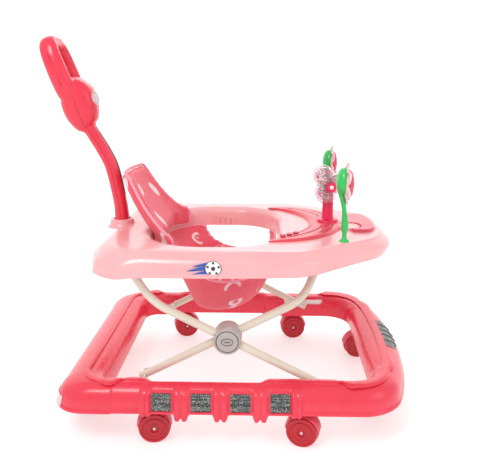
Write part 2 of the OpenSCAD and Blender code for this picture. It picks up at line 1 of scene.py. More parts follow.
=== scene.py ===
import bpy
import random
from math import asin, atan2, copysign, cos, degrees, hypot, pi, radians, sin, sqrt, tau
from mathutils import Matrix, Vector


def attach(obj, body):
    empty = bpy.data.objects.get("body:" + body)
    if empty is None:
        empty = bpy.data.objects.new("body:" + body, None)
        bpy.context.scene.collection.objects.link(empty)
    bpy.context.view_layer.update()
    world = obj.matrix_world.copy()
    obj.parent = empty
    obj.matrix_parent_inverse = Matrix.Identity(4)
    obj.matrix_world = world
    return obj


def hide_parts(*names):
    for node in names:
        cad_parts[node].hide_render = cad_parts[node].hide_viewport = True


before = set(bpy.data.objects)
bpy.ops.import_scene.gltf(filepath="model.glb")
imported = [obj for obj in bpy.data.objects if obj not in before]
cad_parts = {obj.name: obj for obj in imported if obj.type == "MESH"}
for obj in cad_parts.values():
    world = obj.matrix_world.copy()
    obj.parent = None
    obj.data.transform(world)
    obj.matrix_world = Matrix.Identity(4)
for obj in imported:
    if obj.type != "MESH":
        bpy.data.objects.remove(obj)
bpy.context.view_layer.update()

mm = 0.001
random.seed(7)
print("frame loaded")


# small helpers used by every piece
def only(piece):
    if bpy.context.object and bpy.context.object.mode != "OBJECT":
        bpy.ops.object.mode_set(mode="OBJECT")
    bpy.ops.object.select_all(action="DESELECT")
    piece.select_set(True)
    bpy.context.view_layer.objects.active = piece


def nothingSelected():
    bpy.ops.object.select_all(action="DESELECT")


def startEdit(piece, action="SELECT"):
    only(piece)
    bpy.ops.object.mode_set(mode="EDIT")
    bpy.ops.mesh.select_all(action=action)


def endEdit():
    bpy.ops.mesh.select_mode(type="VERT")
    bpy.ops.object.mode_set(mode="OBJECT")


def weld(piece, distance=0.00002):
    startEdit(piece)
    bpy.ops.mesh.remove_doubles(threshold=distance)
    bpy.ops.mesh.normals_make_consistent(inside=False)
    endEdit()
    return piece


def dropFaces(piece, chosen):
    # deletes the faces whose middle (mm) is chosen
    startEdit(piece, "DESELECT")
    endEdit()
    for face in piece.data.polygons:
        face.select = chosen(*(face.center / mm))
    bpy.ops.object.mode_set(mode="EDIT")
    bpy.ops.mesh.select_mode(type="FACE")
    bpy.ops.mesh.delete(type="FACE")
    endEdit()


def wrapGrid(us, vs, place):
    # a flat grid is added, then each of its points is carried to its place (in mm) on the piece
    nothingSelected()
    bpy.ops.mesh.primitive_grid_add(x_subdivisions=us, y_subdivisions=vs, size=2)
    piece = bpy.context.object
    for point in piece.data.vertices:
        point.co = Vector(place((point.co.x + 1) / 2, (point.co.y + 1) / 2)) * mm
    return weld(piece)


def modify(piece, kind, **settings):
    only(piece)
    modifier = piece.modifiers.new("step", kind)
    for key, value in settings.items():
        setattr(modifier, key, value)
    bpy.ops.object.modifier_apply(modifier=modifier.name)
    return piece


def joined(pieces):
    nothingSelected()
    for piece in pieces:
        piece.select_set(True)
    bpy.context.view_layer.objects.active = pieces[0]
    if len(pieces) > 1:
        bpy.ops.object.join()
    return bpy.context.object


def placed(piece, spot=(0, 0, 0), along=(0, 0, 1)):
    # turns a piece that was made standing on +Z so that it points along, then moves it to spot (mm)
    only(piece)
    piece.rotation_mode = "QUATERNION"
    piece.rotation_quaternion = Vector((0, 0, 1)).rotation_difference(Vector(along))
    piece.location = Vector(spot) * mm
    bpy.ops.object.transform_apply(location=True, rotation=True, scale=True)
    return piece


def thicken(piece, thickness, offset=-1):
    return modify(piece, "SOLIDIFY", thickness=thickness * mm, offset=offset)


def finished(piece, name, body, material, replaced=(), smooth=40):
    only(piece)
    bpy.ops.object.transform_apply(location=True, rotation=True, scale=True)
    piece.name = name
    piece.data.name = name
    if material:
        piece.data.materials.clear()
        piece.data.materials.append(materials[material])
    bpy.ops.object.shade_smooth_by_angle(angle=radians(smooth))
    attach(piece, body)
    if replaced:
        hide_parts(*replaced)
    return piece


def spun(profile, steps=48, spot=(0, 0, 0), along=(0, 0, 1)):
    # profile is (radius, height) pairs in mm, turned round +Z
    last = len(profile) - 1

    def place(u, v):
        radius, height = profile[round(v * last)]
        turn = 2 * pi * u
        return radius * cos(turn), radius * sin(turn), height

    return placed(wrapGrid(steps, last, place), spot, along)


def tubeAlong(points, radius, closed=False, sides=3):
    # points in mm; a curve with a round bevel, made a mesh
    curve = bpy.data.curves.new("path", "CURVE")
    curve.dimensions = "3D"
    curve.bevel_depth = radius * mm
    curve.bevel_resolution = sides
    curve.use_fill_caps = not closed
    line = curve.splines.new("POLY")
    line.points.add(len(points) - 1)
    for spot, point in zip(line.points, points):
        spot.co = (*(Vector(point) * mm), 1)
    line.use_cyclic_u = closed
    piece = bpy.data.objects.new("path", curve)
    bpy.context.collection.objects.link(piece)
    only(piece)
    bpy.ops.object.convert(target="MESH")
    return weld(bpy.context.object, 0.000005)


def splineAt(points, t):
    # smooth curve through the points, t from 0 to 1
    n = len(points) - 1
    x = min(max(t, 0), 1) * n
    i = min(int(x), n - 1)
    f = x - i
    a, b, c, d = (points[min(max(k, 0), n)] for k in (i - 1, i, i + 1, i + 2))
    return tuple(
        0.5 * (2 * q + (r - p) * f + (2 * p - 5 * q + 4 * r - s) * f * f + (3 * q - p - 3 * r + s) * f ** 3)
        for p, q, r, s in zip(a, b, c, d)
    )


def hump(x, middle, half, edge):
    # 1 inside middle +- half, falling to 0 over edge
    d = (abs(x - middle) - half) / edge
    return 1.0 if d <= 0 else 0.0 if d >= 1 else 0.5 + 0.5 * cos(pi * d)


def mix(a, b, t):
    return tuple(p + (q - p) * t for p, q in zip(a, b))


# materials; colours are linear red, green and blue
off, on = (0, 0, 0), (1, 1, 1)


def newMaterial(name):
    material = bpy.data.materials.new(name)
    material.use_nodes = True
    return material, material.node_tree.nodes["Principled BSDF"]


def link(source, target):
    source.id_data.links.new(source, target)


def node(shader, kind, **settings):
    made = shader.id_data.nodes.new(f"ShaderNode{kind}")
    for key, value in settings.items():
        if key in made.inputs:
            made.inputs[key].default_value = value
        else:
            setattr(made, key, value)
    return made


def texture(shader, kind, **settings):
    # a texture that reads the piece's own coordinates
    made = node(shader, f"Tex{kind}", **settings)
    spot = shader.id_data.nodes.get("spot") or node(shader, "TexCoord", name="spot")
    link(spot.outputs["Object"], made.inputs["Vector"])
    return made


def ramped(shader, source, stops):
    made = node(shader, "ValToRGB")
    while len(made.color_ramp.elements) < len(stops):
        made.color_ramp.elements.new(0.5)
    for element, (spot, color) in zip(made.color_ramp.elements, stops):
        element.position = spot
        element.color = (*color, 1)
    link(source, made.inputs["Fac"])
    return made.outputs["Color"]


def combined(shader, operation, first, second):
    made = node(shader, "Math", operation=operation)
    link(first, made.inputs[0])
    link(second, made.inputs[1])
    return made.outputs["Value"]


def gloss(shader, source, low, high):
    made = node(shader, "MapRange")
    made.inputs["To Min"].default_value = low
    made.inputs["To Max"].default_value = high
    link(source, made.inputs["Value"])
    link(made.outputs["Result"], shader.inputs["Roughness"])


def relief(shader, source, strength, distance):
    made = node(shader, "Bump", Strength=strength, Distance=distance)
    link(source, made.inputs["Height"])
    link(made.outputs["Normal"], shader.inputs["Normal"])


def plastic(name, color, shade, rough=0.26, coat=0.15, grain=0.02, glow=0.04):
    # moulded plastic: two close tones, faint flow marks and orange peel, uneven gloss
    material, shader = newMaterial(name)
    tone = texture(shader, "Noise", Scale=9.0, Detail=3.0, Roughness=0.5)
    link(ramped(shader, tone.outputs["Fac"], [(0.3, shade), (0.7, color)]), shader.inputs["Base Color"])
    marks = texture(shader, "Noise", Scale=40.0, Detail=4.0)
    gloss(shader, marks.outputs["Fac"], max(rough - 0.06, 0.03), rough + 0.08)
    peel = texture(shader, "Noise", Scale=700.0, Detail=2.0)
    relief(shader, peel.outputs["Fac"], grain * 4, 0.0004)
    shader.inputs["Coat Weight"].default_value = coat
    shader.inputs["Coat Roughness"].default_value = 0.12
    shader.inputs["Subsurface Weight"].default_value = glow
    shader.inputs["Subsurface Radius"].default_value = (0.006, 0.002, 0.002)
    return material


def metal(name, color, rough=0.3):
    material, shader = newMaterial(name)
    scratch = texture(shader, "Noise", Scale=180.0, Detail=5.0).outputs["Fac"]
    dull = tuple(c * 0.8 for c in color)
    link(ramped(shader, scratch, [(0.35, dull), (0.65, color)]), shader.inputs["Base Color"])
    gloss(shader, scratch, rough - 0.08, rough + 0.12)
    shader.inputs["Metallic"].default_value = 1.0
    return material


def meshPrint(name, dark, light, scale=1040.0):
    # dark decorative mesh with speckles from pale green to pink
    material, shader = newMaterial(name)
    dots = texture(shader, "Voronoi", Scale=scale * 0.5, Randomness=0.6).outputs["Distance"]
    wander = texture(shader, "Noise", Scale=70.0, Detail=3.0).outputs["Fac"]
    speckle = [(0.35, light), (0.52, (0.82, 0.86, 0.82)), (0.7, (0.78, 0.46, 0.52))]
    blend = node(shader, "Mix", data_type="RGBA")
    blend.inputs[6].default_value = (*dark, 1)
    link(ramped(shader, dots, [(0.22, on), (0.38, off)]), blend.inputs[0])
    link(ramped(shader, wander, speckle), blend.inputs[7])
    link(blend.outputs[2], shader.inputs["Base Color"])
    relief(shader, dots, 0.4, 0.0005)
    shader.inputs["Roughness"].default_value = 0.5
    return material


def seatCloth(name, ground, ribbon):
    # woven polyester, printed with pale strokes that sway, and broken rings
    material, shader = newMaterial(name)
    sway = texture(shader, "Noise", Scale=9.0, Detail=0.0)
    swayed = node(shader, "VectorMath", operation="MULTIPLY_ADD")
    swayed.inputs[1].default_value = (0.07, 0.07, 0.07)
    link(sway.outputs["Color"], swayed.inputs[0])
    link(shader.id_data.nodes["spot"].outputs["Object"], swayed.inputs[2])
    longways = node(shader, "Mapping", Rotation=(0.35, 0.5, 0.3), Scale=(1.0, 1.0, 0.24))
    link(swayed.outputs["Vector"], longways.inputs["Vector"])
    strokes = node(shader, "TexVoronoi", Scale=19.0, Randomness=0.9)
    link(longways.outputs["Vector"], strokes.inputs["Vector"])
    gaps = texture(shader, "Noise", Scale=16.0, Detail=0.0).outputs["Fac"]
    cells = texture(shader, "Voronoi", Scale=17.0, Randomness=0.8).outputs["Distance"]
    lines = ramped(shader, strokes.outputs["Distance"], [(0.2, on), (0.225, off)])
    strokePart = combined(shader, "MULTIPLY", lines, ramped(shader, gaps, [(0.3, off), (0.33, on)]))
    rings = ramped(shader, cells, [(0.2, off), (0.22, on), (0.31, on), (0.33, off)])
    ringPart = combined(shader, "MULTIPLY", rings, ramped(shader, gaps, [(0.5, off), (0.55, on)]))
    fade = node(shader, "Math", operation="MULTIPLY")
    fade.inputs[1].default_value = 0.95
    link(combined(shader, "MAXIMUM", strokePart, ringPart), fade.inputs[0])
    mottle = texture(shader, "Noise", Scale=260.0, Detail=3.0)
    blend = node(shader, "Mix", data_type="RGBA")
    link(fade.outputs["Value"], blend.inputs[0])
    shade = tuple(c * 0.82 for c in ground)
    link(ramped(shader, mottle.outputs["Fac"], [(0.3, shade), (0.7, ground)]), blend.inputs[6])
    blend.inputs[7].default_value = (*ribbon, 1)
    link(blend.outputs[2], shader.inputs["Base Color"])
    warp = texture(shader, "Wave", Scale=420.0, bands_direction="Z")
    weft = texture(shader, "Wave", Scale=420.0, bands_direction="DIAGONAL")
    relief(shader, combined(shader, "ADD", warp.outputs["Fac"], weft.outputs["Fac"]), 0.35, 0.0004)
    shader.inputs["Roughness"].default_value = 0.78
    shader.inputs["Sheen Weight"].default_value = 0.25
    shader.inputs["Sheen Roughness"].default_value = 0.5
    return material


def clearPlastic(name, tint):
    material, shader = newMaterial(name)
    haze = texture(shader, "Noise", Scale=60.0, Detail=3.0).outputs["Fac"]
    link(ramped(shader, haze, [(0.4, tint), (0.7, on)]), shader.inputs["Base Color"])
    gloss(shader, haze, 0.02, 0.1)
    shader.inputs["Transmission Weight"].default_value = 0.92
    shader.inputs["IOR"].default_value = 1.2
    return material


materials = {
    "base": plastic("baseRed", (0.86, 0.045, 0.085), (0.78, 0.03, 0.065)),
    "handle": plastic("handleRed", (0.84, 0.035, 0.075), (0.76, 0.025, 0.06), rough=0.24),
    "wheel": plastic("wheelRed", (0.55, 0.006, 0.02), (0.46, 0.004, 0.016), rough=0.34),
    "hood": plastic("hoodPink", (0.80, 0.10, 0.15), (0.74, 0.08, 0.13), rough=0.34),
    "tray": plastic("trayPink", (0.90, 0.455, 0.465), (0.87, 0.41, 0.425), rough=0.22, glow=0.08),
    "panel": plastic("panelRed", (0.80, 0.075, 0.11), (0.74, 0.055, 0.09), rough=0.3),
    "groove": plastic("grooveDark", (0.36, 0.01, 0.025), (0.3, 0.008, 0.02), rough=0.5),
    "tube": plastic("tubeCream", (0.76, 0.70, 0.58), (0.70, 0.64, 0.52), rough=0.25, glow=0.0),
    "track": plastic("trackWhite", (0.90, 0.88, 0.84), (0.84, 0.82, 0.78), rough=0.3, glow=0.0),
    "hub": plastic("hubGrey", (0.46, 0.42, 0.40), (0.40, 0.36, 0.345), rough=0.4, grain=0.06, glow=0.0),
    "hubDark": plastic("hubGroove", (0.16, 0.14, 0.14), (0.13, 0.115, 0.115), rough=0.5, glow=0.0),
    "zinc": metal("zincSteel", (0.72, 0.72, 0.73)),
    "mesh": meshPrint("sideMesh", (0.035, 0.045, 0.042), (0.30, 0.40, 0.36)),
    "grille": meshPrint("grilleFilm", (0.17, 0.165, 0.15), (0.28, 0.30, 0.28), scale=300.0),
    "grilleDark": plastic("grilleDark", (0.035, 0.035, 0.035), (0.05, 0.05, 0.05), rough=0.45, glow=0.0),
    # pale pink for the rear corners: a painted reflection of the white surroundings on the glossy corner
    # bulges
    "reflector": plastic("paintedReflectionPink", (0.93, 0.60, 0.62), (0.9, 0.52, 0.55), rough=0.15),
    "cloth": seatCloth("seatCloth", (0.90, 0.10, 0.15), (0.86, 0.70, 0.72)),
    "piping": plastic("pipingPink", (0.95, 0.36, 0.44), (0.88, 0.28, 0.36), rough=0.7, coat=0.0, grain=0.3),
    "button": plastic("buttonPink", (0.93, 0.22, 0.28), (0.86, 0.17, 0.23)),
    "green": plastic("leafGreen", (0.035, 0.58, 0.12), (0.025, 0.48, 0.09), rough=0.25, glow=0.1),
    "petal": plastic("petalPink", (0.90, 0.66, 0.68), (0.86, 0.56, 0.6), rough=0.3, glow=0.1),
    "magenta": plastic("magenta", (0.85, 0.008, 0.10), (0.76, 0.006, 0.08), rough=0.28),
    "clear": clearPlastic("clearLobes", (0.98, 0.86, 0.9)),
    "beadPink": plastic("beadPink", (0.88, 0.18, 0.34), (0.8, 0.12, 0.26)),
    "beadWhite": plastic("beadWhite", (0.88, 0.84, 0.84), (0.8, 0.74, 0.76)),
    "beadGold": plastic("beadGold", (0.70, 0.46, 0.22), (0.6, 0.38, 0.16)),
    "emblem": plastic("emblemGrey", (0.66, 0.62, 0.62), (0.56, 0.52, 0.53), rough=0.2),
    "strip": plastic("stripDark", (0.11, 0.015, 0.03), (0.08, 0.01, 0.02), rough=0.4),
    "black": plastic("blackPlastic", (0.03, 0.032, 0.035), (0.045, 0.045, 0.05), rough=0.5),
    "blue": plastic("stickerBlue", (0.02, 0.10, 0.45), (0.015, 0.07, 0.36)),
    "white": plastic("stickerWhite", (0.88, 0.88, 0.9), (0.8, 0.8, 0.84)),
}
print("materials made")

# camera, light and floor
view = {"spot": (0.0714, -1.2626, 0.6787), "yaw": -0.0268, "pitch": 0.2606, "lens": 43.2}


def makeStage():
    camera = bpy.data.objects.new("camera", bpy.data.cameras.new("camera"))
    bpy.context.collection.objects.link(camera)
    camera.data.lens = view["lens"]
    camera.location = view["spot"]
    flat = cos(view["pitch"])
    ahead = Vector((sin(view["yaw"]) * flat, cos(view["yaw"]) * flat, -sin(view["pitch"])))
    camera.rotation_mode = "QUATERNION"
    camera.rotation_quaternion = ahead.to_track_quat("-Z", "Y")
    bpy.context.scene.camera = camera
    bpy.context.scene.view_settings.view_transform = "Standard"  # so the plastics keep their own colour
    world = bpy.data.worlds.new("studio")
    bpy.context.scene.world = world
    world.use_nodes = True
    world.node_tree.nodes["Background"].inputs["Color"].default_value = (1, 1, 1, 1)
    world.node_tree.nodes["Background"].inputs["Strength"].default_value = 0.8
    lamps = [  # name, spot, aim, size, watts
        ("key", (-0.7, -1.5, 2.1), (0, 0, 0.3), 0.7, 17),
        ("fill", (1.8, -1.2, 1.2), (0, 0, 0.3), 1.0, 4),
        ("back", (0.2, 1.8, 1.9), (0, 0, 0.4), 1.2, 8),
    ]
    for name, spot, aim, size, watts in lamps:
        lamp = bpy.data.objects.new(name, bpy.data.lights.new(name, "AREA"))
        bpy.context.collection.objects.link(lamp)
        lamp.data.size = size
        lamp.data.energy = watts
        lamp.location = spot
        lamp.rotation_mode = "QUATERNION"
        lamp.rotation_quaternion = (Vector(aim) - Vector(spot)).to_track_quat("-Z", "Y")
    nothingSelected()
    bpy.ops.mesh.primitive_plane_add(size=14, location=(0, 0, -0.0005))
    floor = bpy.context.object
    floor.name = "floor"
    backdrop = wrapGrid(2, 2, lambda u, v: (24000 * (u - 0.5), 6800, 9000 * v - 400))
    backdrop.name = "backdrop"
    for screen, shade, rough, glow in ((floor, 0.6, 0.9, 0.54), (backdrop, 0.5, 0.5, 1.0)):
        material, shader = newMaterial(screen.name + "White")
        shader.inputs["Base Color"].default_value = (shade, shade, shade, 1)
        shader.inputs["Roughness"].default_value = rough
        shader.inputs["Emission Color"].default_value = (1, 1, 1, 1)
        shader.inputs["Emission Strength"].default_value = glow
        screen.data.materials.append(material)


makeStage()
print("camera, lights and floor")

# base ring
base = {
    "front": 372, "rear": 330, "half": 272, "low": 70,
    "cornerFront": 90, "cornerRear": 60, "bow": 30,
    "inner": 212, "waist": 228, "waistRear": -140, "waistFront": 60,
    "innerFront": 284, "innerRear": -238, "innerCornerFront": 60, "innerCornerRear": 30,
    "windows": (-121, -47, 27, 101), "windowHalf": 19.5, "ribs": (-84, -10, 64), "endRibs": (-150, 131),
    "step": -216, "slot": (123, 216), "slotLow": 101.5, "slotHigh": 112.5, "track": 4.5,
}
# cross-section from the inner foot over the top to the outer foot: share of the way out, mm further, mm up
railSection = [
    (0, 0.5, 0), (0, 0, 4), (0, 0.6, 20), (0, 1.8, 34), (0, 4, 43), (0, 8.5, 49), (0, 15, 51.4),
    (0.38, 0, 52), (0.55, 0, 50.5), (0.7, 0, 46.5), (0.82, 0, 40), (0.905, 0, 31.5), (0.955, 0, 22.5),
    (0.978, 0, 14), (0.985, 0, 9.5), (1.0, 0, 7.5), (1.0, 1.4, 5), (1.0, 1.4, 1.5), (1.0, 0, 0),
]


def waistInner(x):
    t = hump(x, (base["waistRear"] + base["waistFront"]) / 2,
             (base["waistFront"] - base["waistRear"]) / 2, 22)
    return base["inner"] + (base["waist"] - base["inner"]) * t


def sidePair(x):
    inner = min(max(x, base["innerRear"] + base["innerCornerRear"]),
                base["innerFront"] - base["innerCornerFront"])
    return (x, base["half"]), (inner, waistInner(inner))


def ringStations():
    # matching points of the outer and inner outlines, once round
    corner, fy = base["cornerFront"], base["half"] - base["cornerFront"]
    cx = base["front"] - base["bow"] - corner
    bowRadius = ((corner + base["bow"]) ** 2 + fy ** 2 - corner ** 2) / (2 * base["bow"])
    bowTurn = asin(fy / (bowRadius - corner))
    half = []
    for i in range(18):
        a = bowTurn * i / 18
        y = bowRadius * sin(a)
        outer = (base["front"] - bowRadius + bowRadius * cos(a), y)
        half.append((outer, (base["innerFront"], min(y, base["inner"] - base["innerCornerFront"]))))
    ix, iy = base["innerFront"] - base["innerCornerFront"], base["inner"] - base["innerCornerFront"]
    for i in range(20):
        a = bowTurn + (pi / 2 - bowTurn) * i / 20
        b = pi / 2 * i / 20
        half.append((
            (cx + corner * cos(a), fy + corner * sin(a)),
            (ix + base["innerCornerFront"] * cos(b), iy + base["innerCornerFront"] * sin(b)),
        ))
    x = cx
    while x > 60 - base["rear"]:
        half.append(sidePair(x))
        x -= 2.5 if -165 < x < 222 or abs(x - base["step"]) < 12 else 7
    rc, rx, ry = base["cornerRear"], base["cornerRear"] - base["rear"], base["half"] - base["cornerRear"]
    jr = base["innerCornerRear"]
    jx, jy = base["innerRear"] + jr, base["inner"] - jr
    for i in range(17):
        a = pi / 2 * (1 + i / 16)
        half.append((
            (rx + rc * cos(a), ry + rc * sin(a)), (jx + jr * cos(a), jy + jr * sin(a)),
        ))
    for i in range(1, 14):
        y = ry * (1 - i / 14)
        half.append(((-base["rear"], y), (base["innerRear"], min(y, jy))))
    mirrored = [((o[0], -o[1]), (n[0], -n[1])) for o, n in reversed(half[1:])]
    return half + [((-base["rear"], 0), (base["innerRear"], 0))] + mirrored


def railPoint(pair, v, lift=0.0):
    # a point of the rail's skin; lift stands it off the skin
    outer, inner = Vector(pair[0]), Vector(pair[1])
    share, further, up = splineAt(railSection, v)
    out = (outer - inner).normalized()
    x, y = outer.x, abs(outer.y)
    onSide = y > base["half"] - 1 and -200 < x < 170
    belly = hump(v, 0.76, 0.2, 0.14)
    swell, sink, droop = 0.0, 0.0, 0.0
    if onSide:
        for rib in base["ribs"]:
            swell += 7.0 * hump(x, rib, 9.5, 6) - 3.0 * hump(x, rib, 0.6, 3.4)
        droop = swell
        for rib in base["endRibs"]:
            swell += 6.6 * hump(x, rib, 6.5, 5) - 2.6 * hump(x, rib, 0.4, 3)
        for window in base["windows"]:
            sink += 2.2 * hump(x, window, base["windowHalf"], 2.6) * hump(v, 0.705, 0.155, 0.03)
    if x < base["step"] + 4 and y > base["half"] - 62:
        swell += 2.2 * (1 - hump(x, base["step"] + 60, 58, 5))
    groove = 1.1 * hump(v, 0.41, 0.004, 0.02) if y > base["half"] - 1 else 0
    roll = 1 - hump(x, 8, 190, 46) if v < 0.42 else 0.0  # the end rails slope softly down to the opening
    further *= 1 + 2.1 * roll * hump(v, 0.3, 0.1, 0.12)
    lowering = droop * 1.25 * hump(v, 0.93, 0.07, 0.2)
    spot = inner + (outer - inner) * share + out * (further + swell * belly - sink * 0.75 + lift * 0.8)
    z = base["low"] + up - sink * 0.5 - groove + lift * 0.55 - swell * 0.3 * belly - lowering
    return spot.x, spot.y, z


def makeBase():
    stations = ringStations()
    count = len(stations)
    ring = wrapGrid(count, 64, lambda u, v: railPoint(stations[round(u * count) % count], v))
    low, high = base["slot"]
    dropFaces(ring, lambda x, y, z: low < x < high and abs(y) < 224
              and base["slotLow"] < z < base["slotHigh"])
    thicken(ring, 2.6)
    finished(ring, "baseRing", "base", "base", ["base_shell"], smooth=50)
    tracks = []  # a pale plate behind each slot
    start, long, foot = low - 3, high - low + 6, base["slotLow"] - 1.5
    for side in (1, -1):
        y = side * (base["inner"] + base["track"])
        tracks.append(wrapGrid(24, 4, lambda u, v: (start + long * u, y, foot + 14 * v)))
    lining = joined(tracks)
    thicken(lining, 1.4, 0)
    finished(lining, "slotTracks", "base", "track")


def makeRailPatch(pairs, v0, v1, lift):
    # a thin plate that follows the rail's skin from v0 to v1 of its section
    last = len(pairs) - 1

    def place(u, v):
        pair = pairs[round(u * last)]
        low, high = (v0(u), v1(u)) if callable(v0) else (v0, v1)
        return railPoint(pair, low + (high - low) * v, lift)

    plate = wrapGrid(last, 20, place)
    thicken(plate, 0.8, 0)
    return plate


def makeGrilles():
    plates = []
    for side in (1, -1):
        for window in base["windows"]:
            reach = base["windowHalf"] - 1.2
            xs = [window - reach + 2 * reach * i / 12 for i in range(13)]
            pairs = [((o[0], side * o[1]), (n[0], side * n[1])) for o, n in (sidePair(x) for x in xs)]
            plates.append(makeRailPatch(pairs, 0.56, 0.85, 0.7))
    finished(joined(plates), "sideMeshes", "base", "mesh", ["side_grilles"])
    stations = ringStations()
    front = [s for s in stations if s[0][0] > 330 and abs(s[0][1]) < 78]
    front.sort(key=lambda s: s[0][1])
    front = [front[0]] + [
        (mix(a[0], b[0], 0.5 * k), mix(a[1], b[1], 0.5 * k)) for a, b in zip(front, front[1:]) for k in (1, 2)
    ]

    def lens(u):
        return 0.03 + 0.07 * sqrt(max(1 - (2 * u - 1) ** 2, 0))

    plate = makeRailPatch(front, lambda u: 0.5 - lens(u), lambda u: 0.5 + lens(u), 0.7)
    finished(plate, "frontLens", "base", "grille", ["front_grille"])
    bars = []
    for i in range(4):
        share = 0.2 + 0.2 * i
        at = round(share * (len(front) - 1))
        low, high = 0.5 - lens(share), 0.5 + lens(share)
        bars.append(tubeAlong([railPoint(front[at], low + (high - low) * k / 8, 1.2) for k in range(9)], 1.6))
    finished(joined(bars), "frontLensBars", "base", "grilleDark")
    plates = []
    for side in (1, -1):
        for i in range(4):
            ys = [74 + i * 23 + k * 17 / 4 for k in range(5)]
            pairs = [((-base["rear"], side * y), (base["innerRear"], side * min(y, 182))) for y in ys]
            plates.append(makeRailPatch(pairs, 0.68, 0.86, 0.8))
    finished(joined(plates), "rearGrilles", "base", "grille", ["rear_grilles"])
    # painted reflection: pale pink plates on the rear corner bulges stand for the glossy plastic reflecting
    # the white surroundings; they take the place of the CAD's rear_reflectors node
    plates = []
    for side in (1, -1):
        corner = [s for s in stations if s[0][0] < -290 and side * s[0][1] > 188 and side * s[0][1] < 258]
        plates.append(makeRailPatch(corner, 0.66, 0.88, 1.1))
    finished(joined(plates), "rearPaintedReflections", "base", "reflector", ["rear_reflectors"])


makeBase()
makeGrilles()
print("base ring")

# casters
caster = {"wheel": 30, "width": 12, "web": 12, "trail": 20, "hoodRadius": 34.4}
casterSpots = [
    (-160, -243, 8), (126, -243, -14), (-160, 243, 12), (126, 243, 5),
    (320, -137, 168), (320, 137, 186), (-284, -137, 176), (-284, 137, 190),
]


def turned(spot, turn, point):
    a = radians(turn)
    x, y, z = point
    return spot[0] + x * cos(a) - y * sin(a), spot[1] + x * sin(a) + y * cos(a), z


def makeWheels(i, x, y, turn):
    inner = caster["web"] / 2 + 1
    face = inner + caster["width"]
    r = caster["wheel"]
    profile = [
        (0, inner), (r - 3, inner), (r - 0.8, inner + 0.8), (r, inner + 3), (r, face - 3.2),
        (r - 0.9, face - 0.9), (r - 3, face - 0.1), (r - 5.4, face - 0.3), (r - 6.0, face - 1.6),
        (r - 9, face - 1.9), (r - 9.6, face - 0.5), (r - 12.5, face - 0.4), (r - 13.1, face - 1.7),
        (r - 18, face - 2.2), (r - 20.5, face - 1.2), (9, face - 0.6), (8.2, face - 0.8), (7.6, face - 3),
        (0, face - 3),
    ]
    a = radians(turn)
    across = Vector((-sin(a), cos(a), 0))
    spot = turned((x, y), turn, (caster["trail"], 0, r))
    discs = [spun(profile, 56, spot, across), spun(profile, 56, spot, -across)]
    finished(joined(discs), f"wheelPair{i}", f"wheels_{i}", "wheel", [f"caster_wheels_{i}"], 35)
    axleEnd = [(0, face + 0.2), (2.2, face + 0.1), (3, face - 0.8), (3, face - 3.4), (5.6, face - 3.4)]
    ends = [spun(axleEnd, 24, spot, across), spun(axleEnd, 24, spot, -across)]
    finished(joined(ends), f"axleEnds{i}", f"wheels_{i}", "zinc", smooth=30)


def makeHood(i, x, y, turn):
    r = caster["hoodRadius"]
    half = caster["web"] / 2 + 1 + caster["width"] - 3.6

    def place(u, v):
        # v goes across the fender, u from its rear lip over the top to its front lip
        a = radians(8 + 164 * u)
        across = (2 * v - 1)
        radius = r - 3.2 * abs(across) ** 4 - 0.9 * hump(across, 0, 0.05, 0.1)
        return turned((x, y), turn, (
            caster["trail"] - radius * cos(a), across * half, caster["wheel"] + radius * sin(a)))

    fender = wrapGrid(28, 18, place)
    thicken(fender, 2.2)
    web = spun([(0, -5.6), (r - 3, -5.6), (r - 2.4, -5), (r - 2.4, 5), (r - 3, 5.6), (0, 5.6)], 40,
               turned((x, y), turn, (caster["trail"], 0, caster["wheel"])),
               (-sin(radians(turn)), cos(radians(turn)), 0))
    startEdit(web)
    bpy.ops.mesh.bisect(plane_co=(0, 0, 0.012), plane_no=(0, 0, 1), clear_inner=True, use_fill=True)
    endEdit()
    low = caster["wheel"] + caster["hoodRadius"] - 4.5
    post = spun([(0, low - 6), (9.4, low - 6), (9.4, low + 4), (8.6, low + 5.2), (8.6, 68.4), (8, 69),
                 (0, 69)], 28,
                (x, y, 0))
    finished(joined([fender, web, post]), f"hood{i}", f"hood_{i}", "hood", [f"caster_hood_{i}"])


for i, (x, y, turn) in enumerate(casterSpots, 1):
    makeWheels(i, x, y, turn)
    makeHood(i, x, y, turn)
print("casters")

# crossed frame
cross = {
    "pivot": (164, 107), "knee": (143, 266), "top": (190, 345), "tube": 8, "innerY": 183, "outerY": 201,
    "barHalf": 108, "hubZ": 107 + 159 * 164 / 307, "hubRadius": 27, "kneeBend": 34, "topBend": 40,
}


def bend(a, b, c, reach, steps=10):
    a, b, c = Vector(a), Vector(b), Vector(c)
    start, end = b + (a - b).normalized() * reach, b + (c - b).normalized() * reach
    return [(1 - t) ** 2 * start + 2 * t * (1 - t) * b + t * t * end
            for t in (k / steps for k in range(steps + 1))]


def framePath(y, topY, facing):
    low = Vector((-cross["pivot"][0], y, cross["pivot"][1]))
    knee = Vector((cross["knee"][0], y, cross["knee"][1]))
    tip = Vector((cross["top"][0], topY, cross["top"][1]))
    start = low - (knee - low).normalized() * 13
    half = [start, *bend(low, knee, tip, cross["kneeBend"]),
            *bend(knee, tip, (tip.x, 0, tip.z), cross["topBend"])]
    whole = half + [Vector((p.x, -p.y, p.z)) for p in reversed(half)]
    return [(p.x * facing, p.y, p.z) for p in whole]


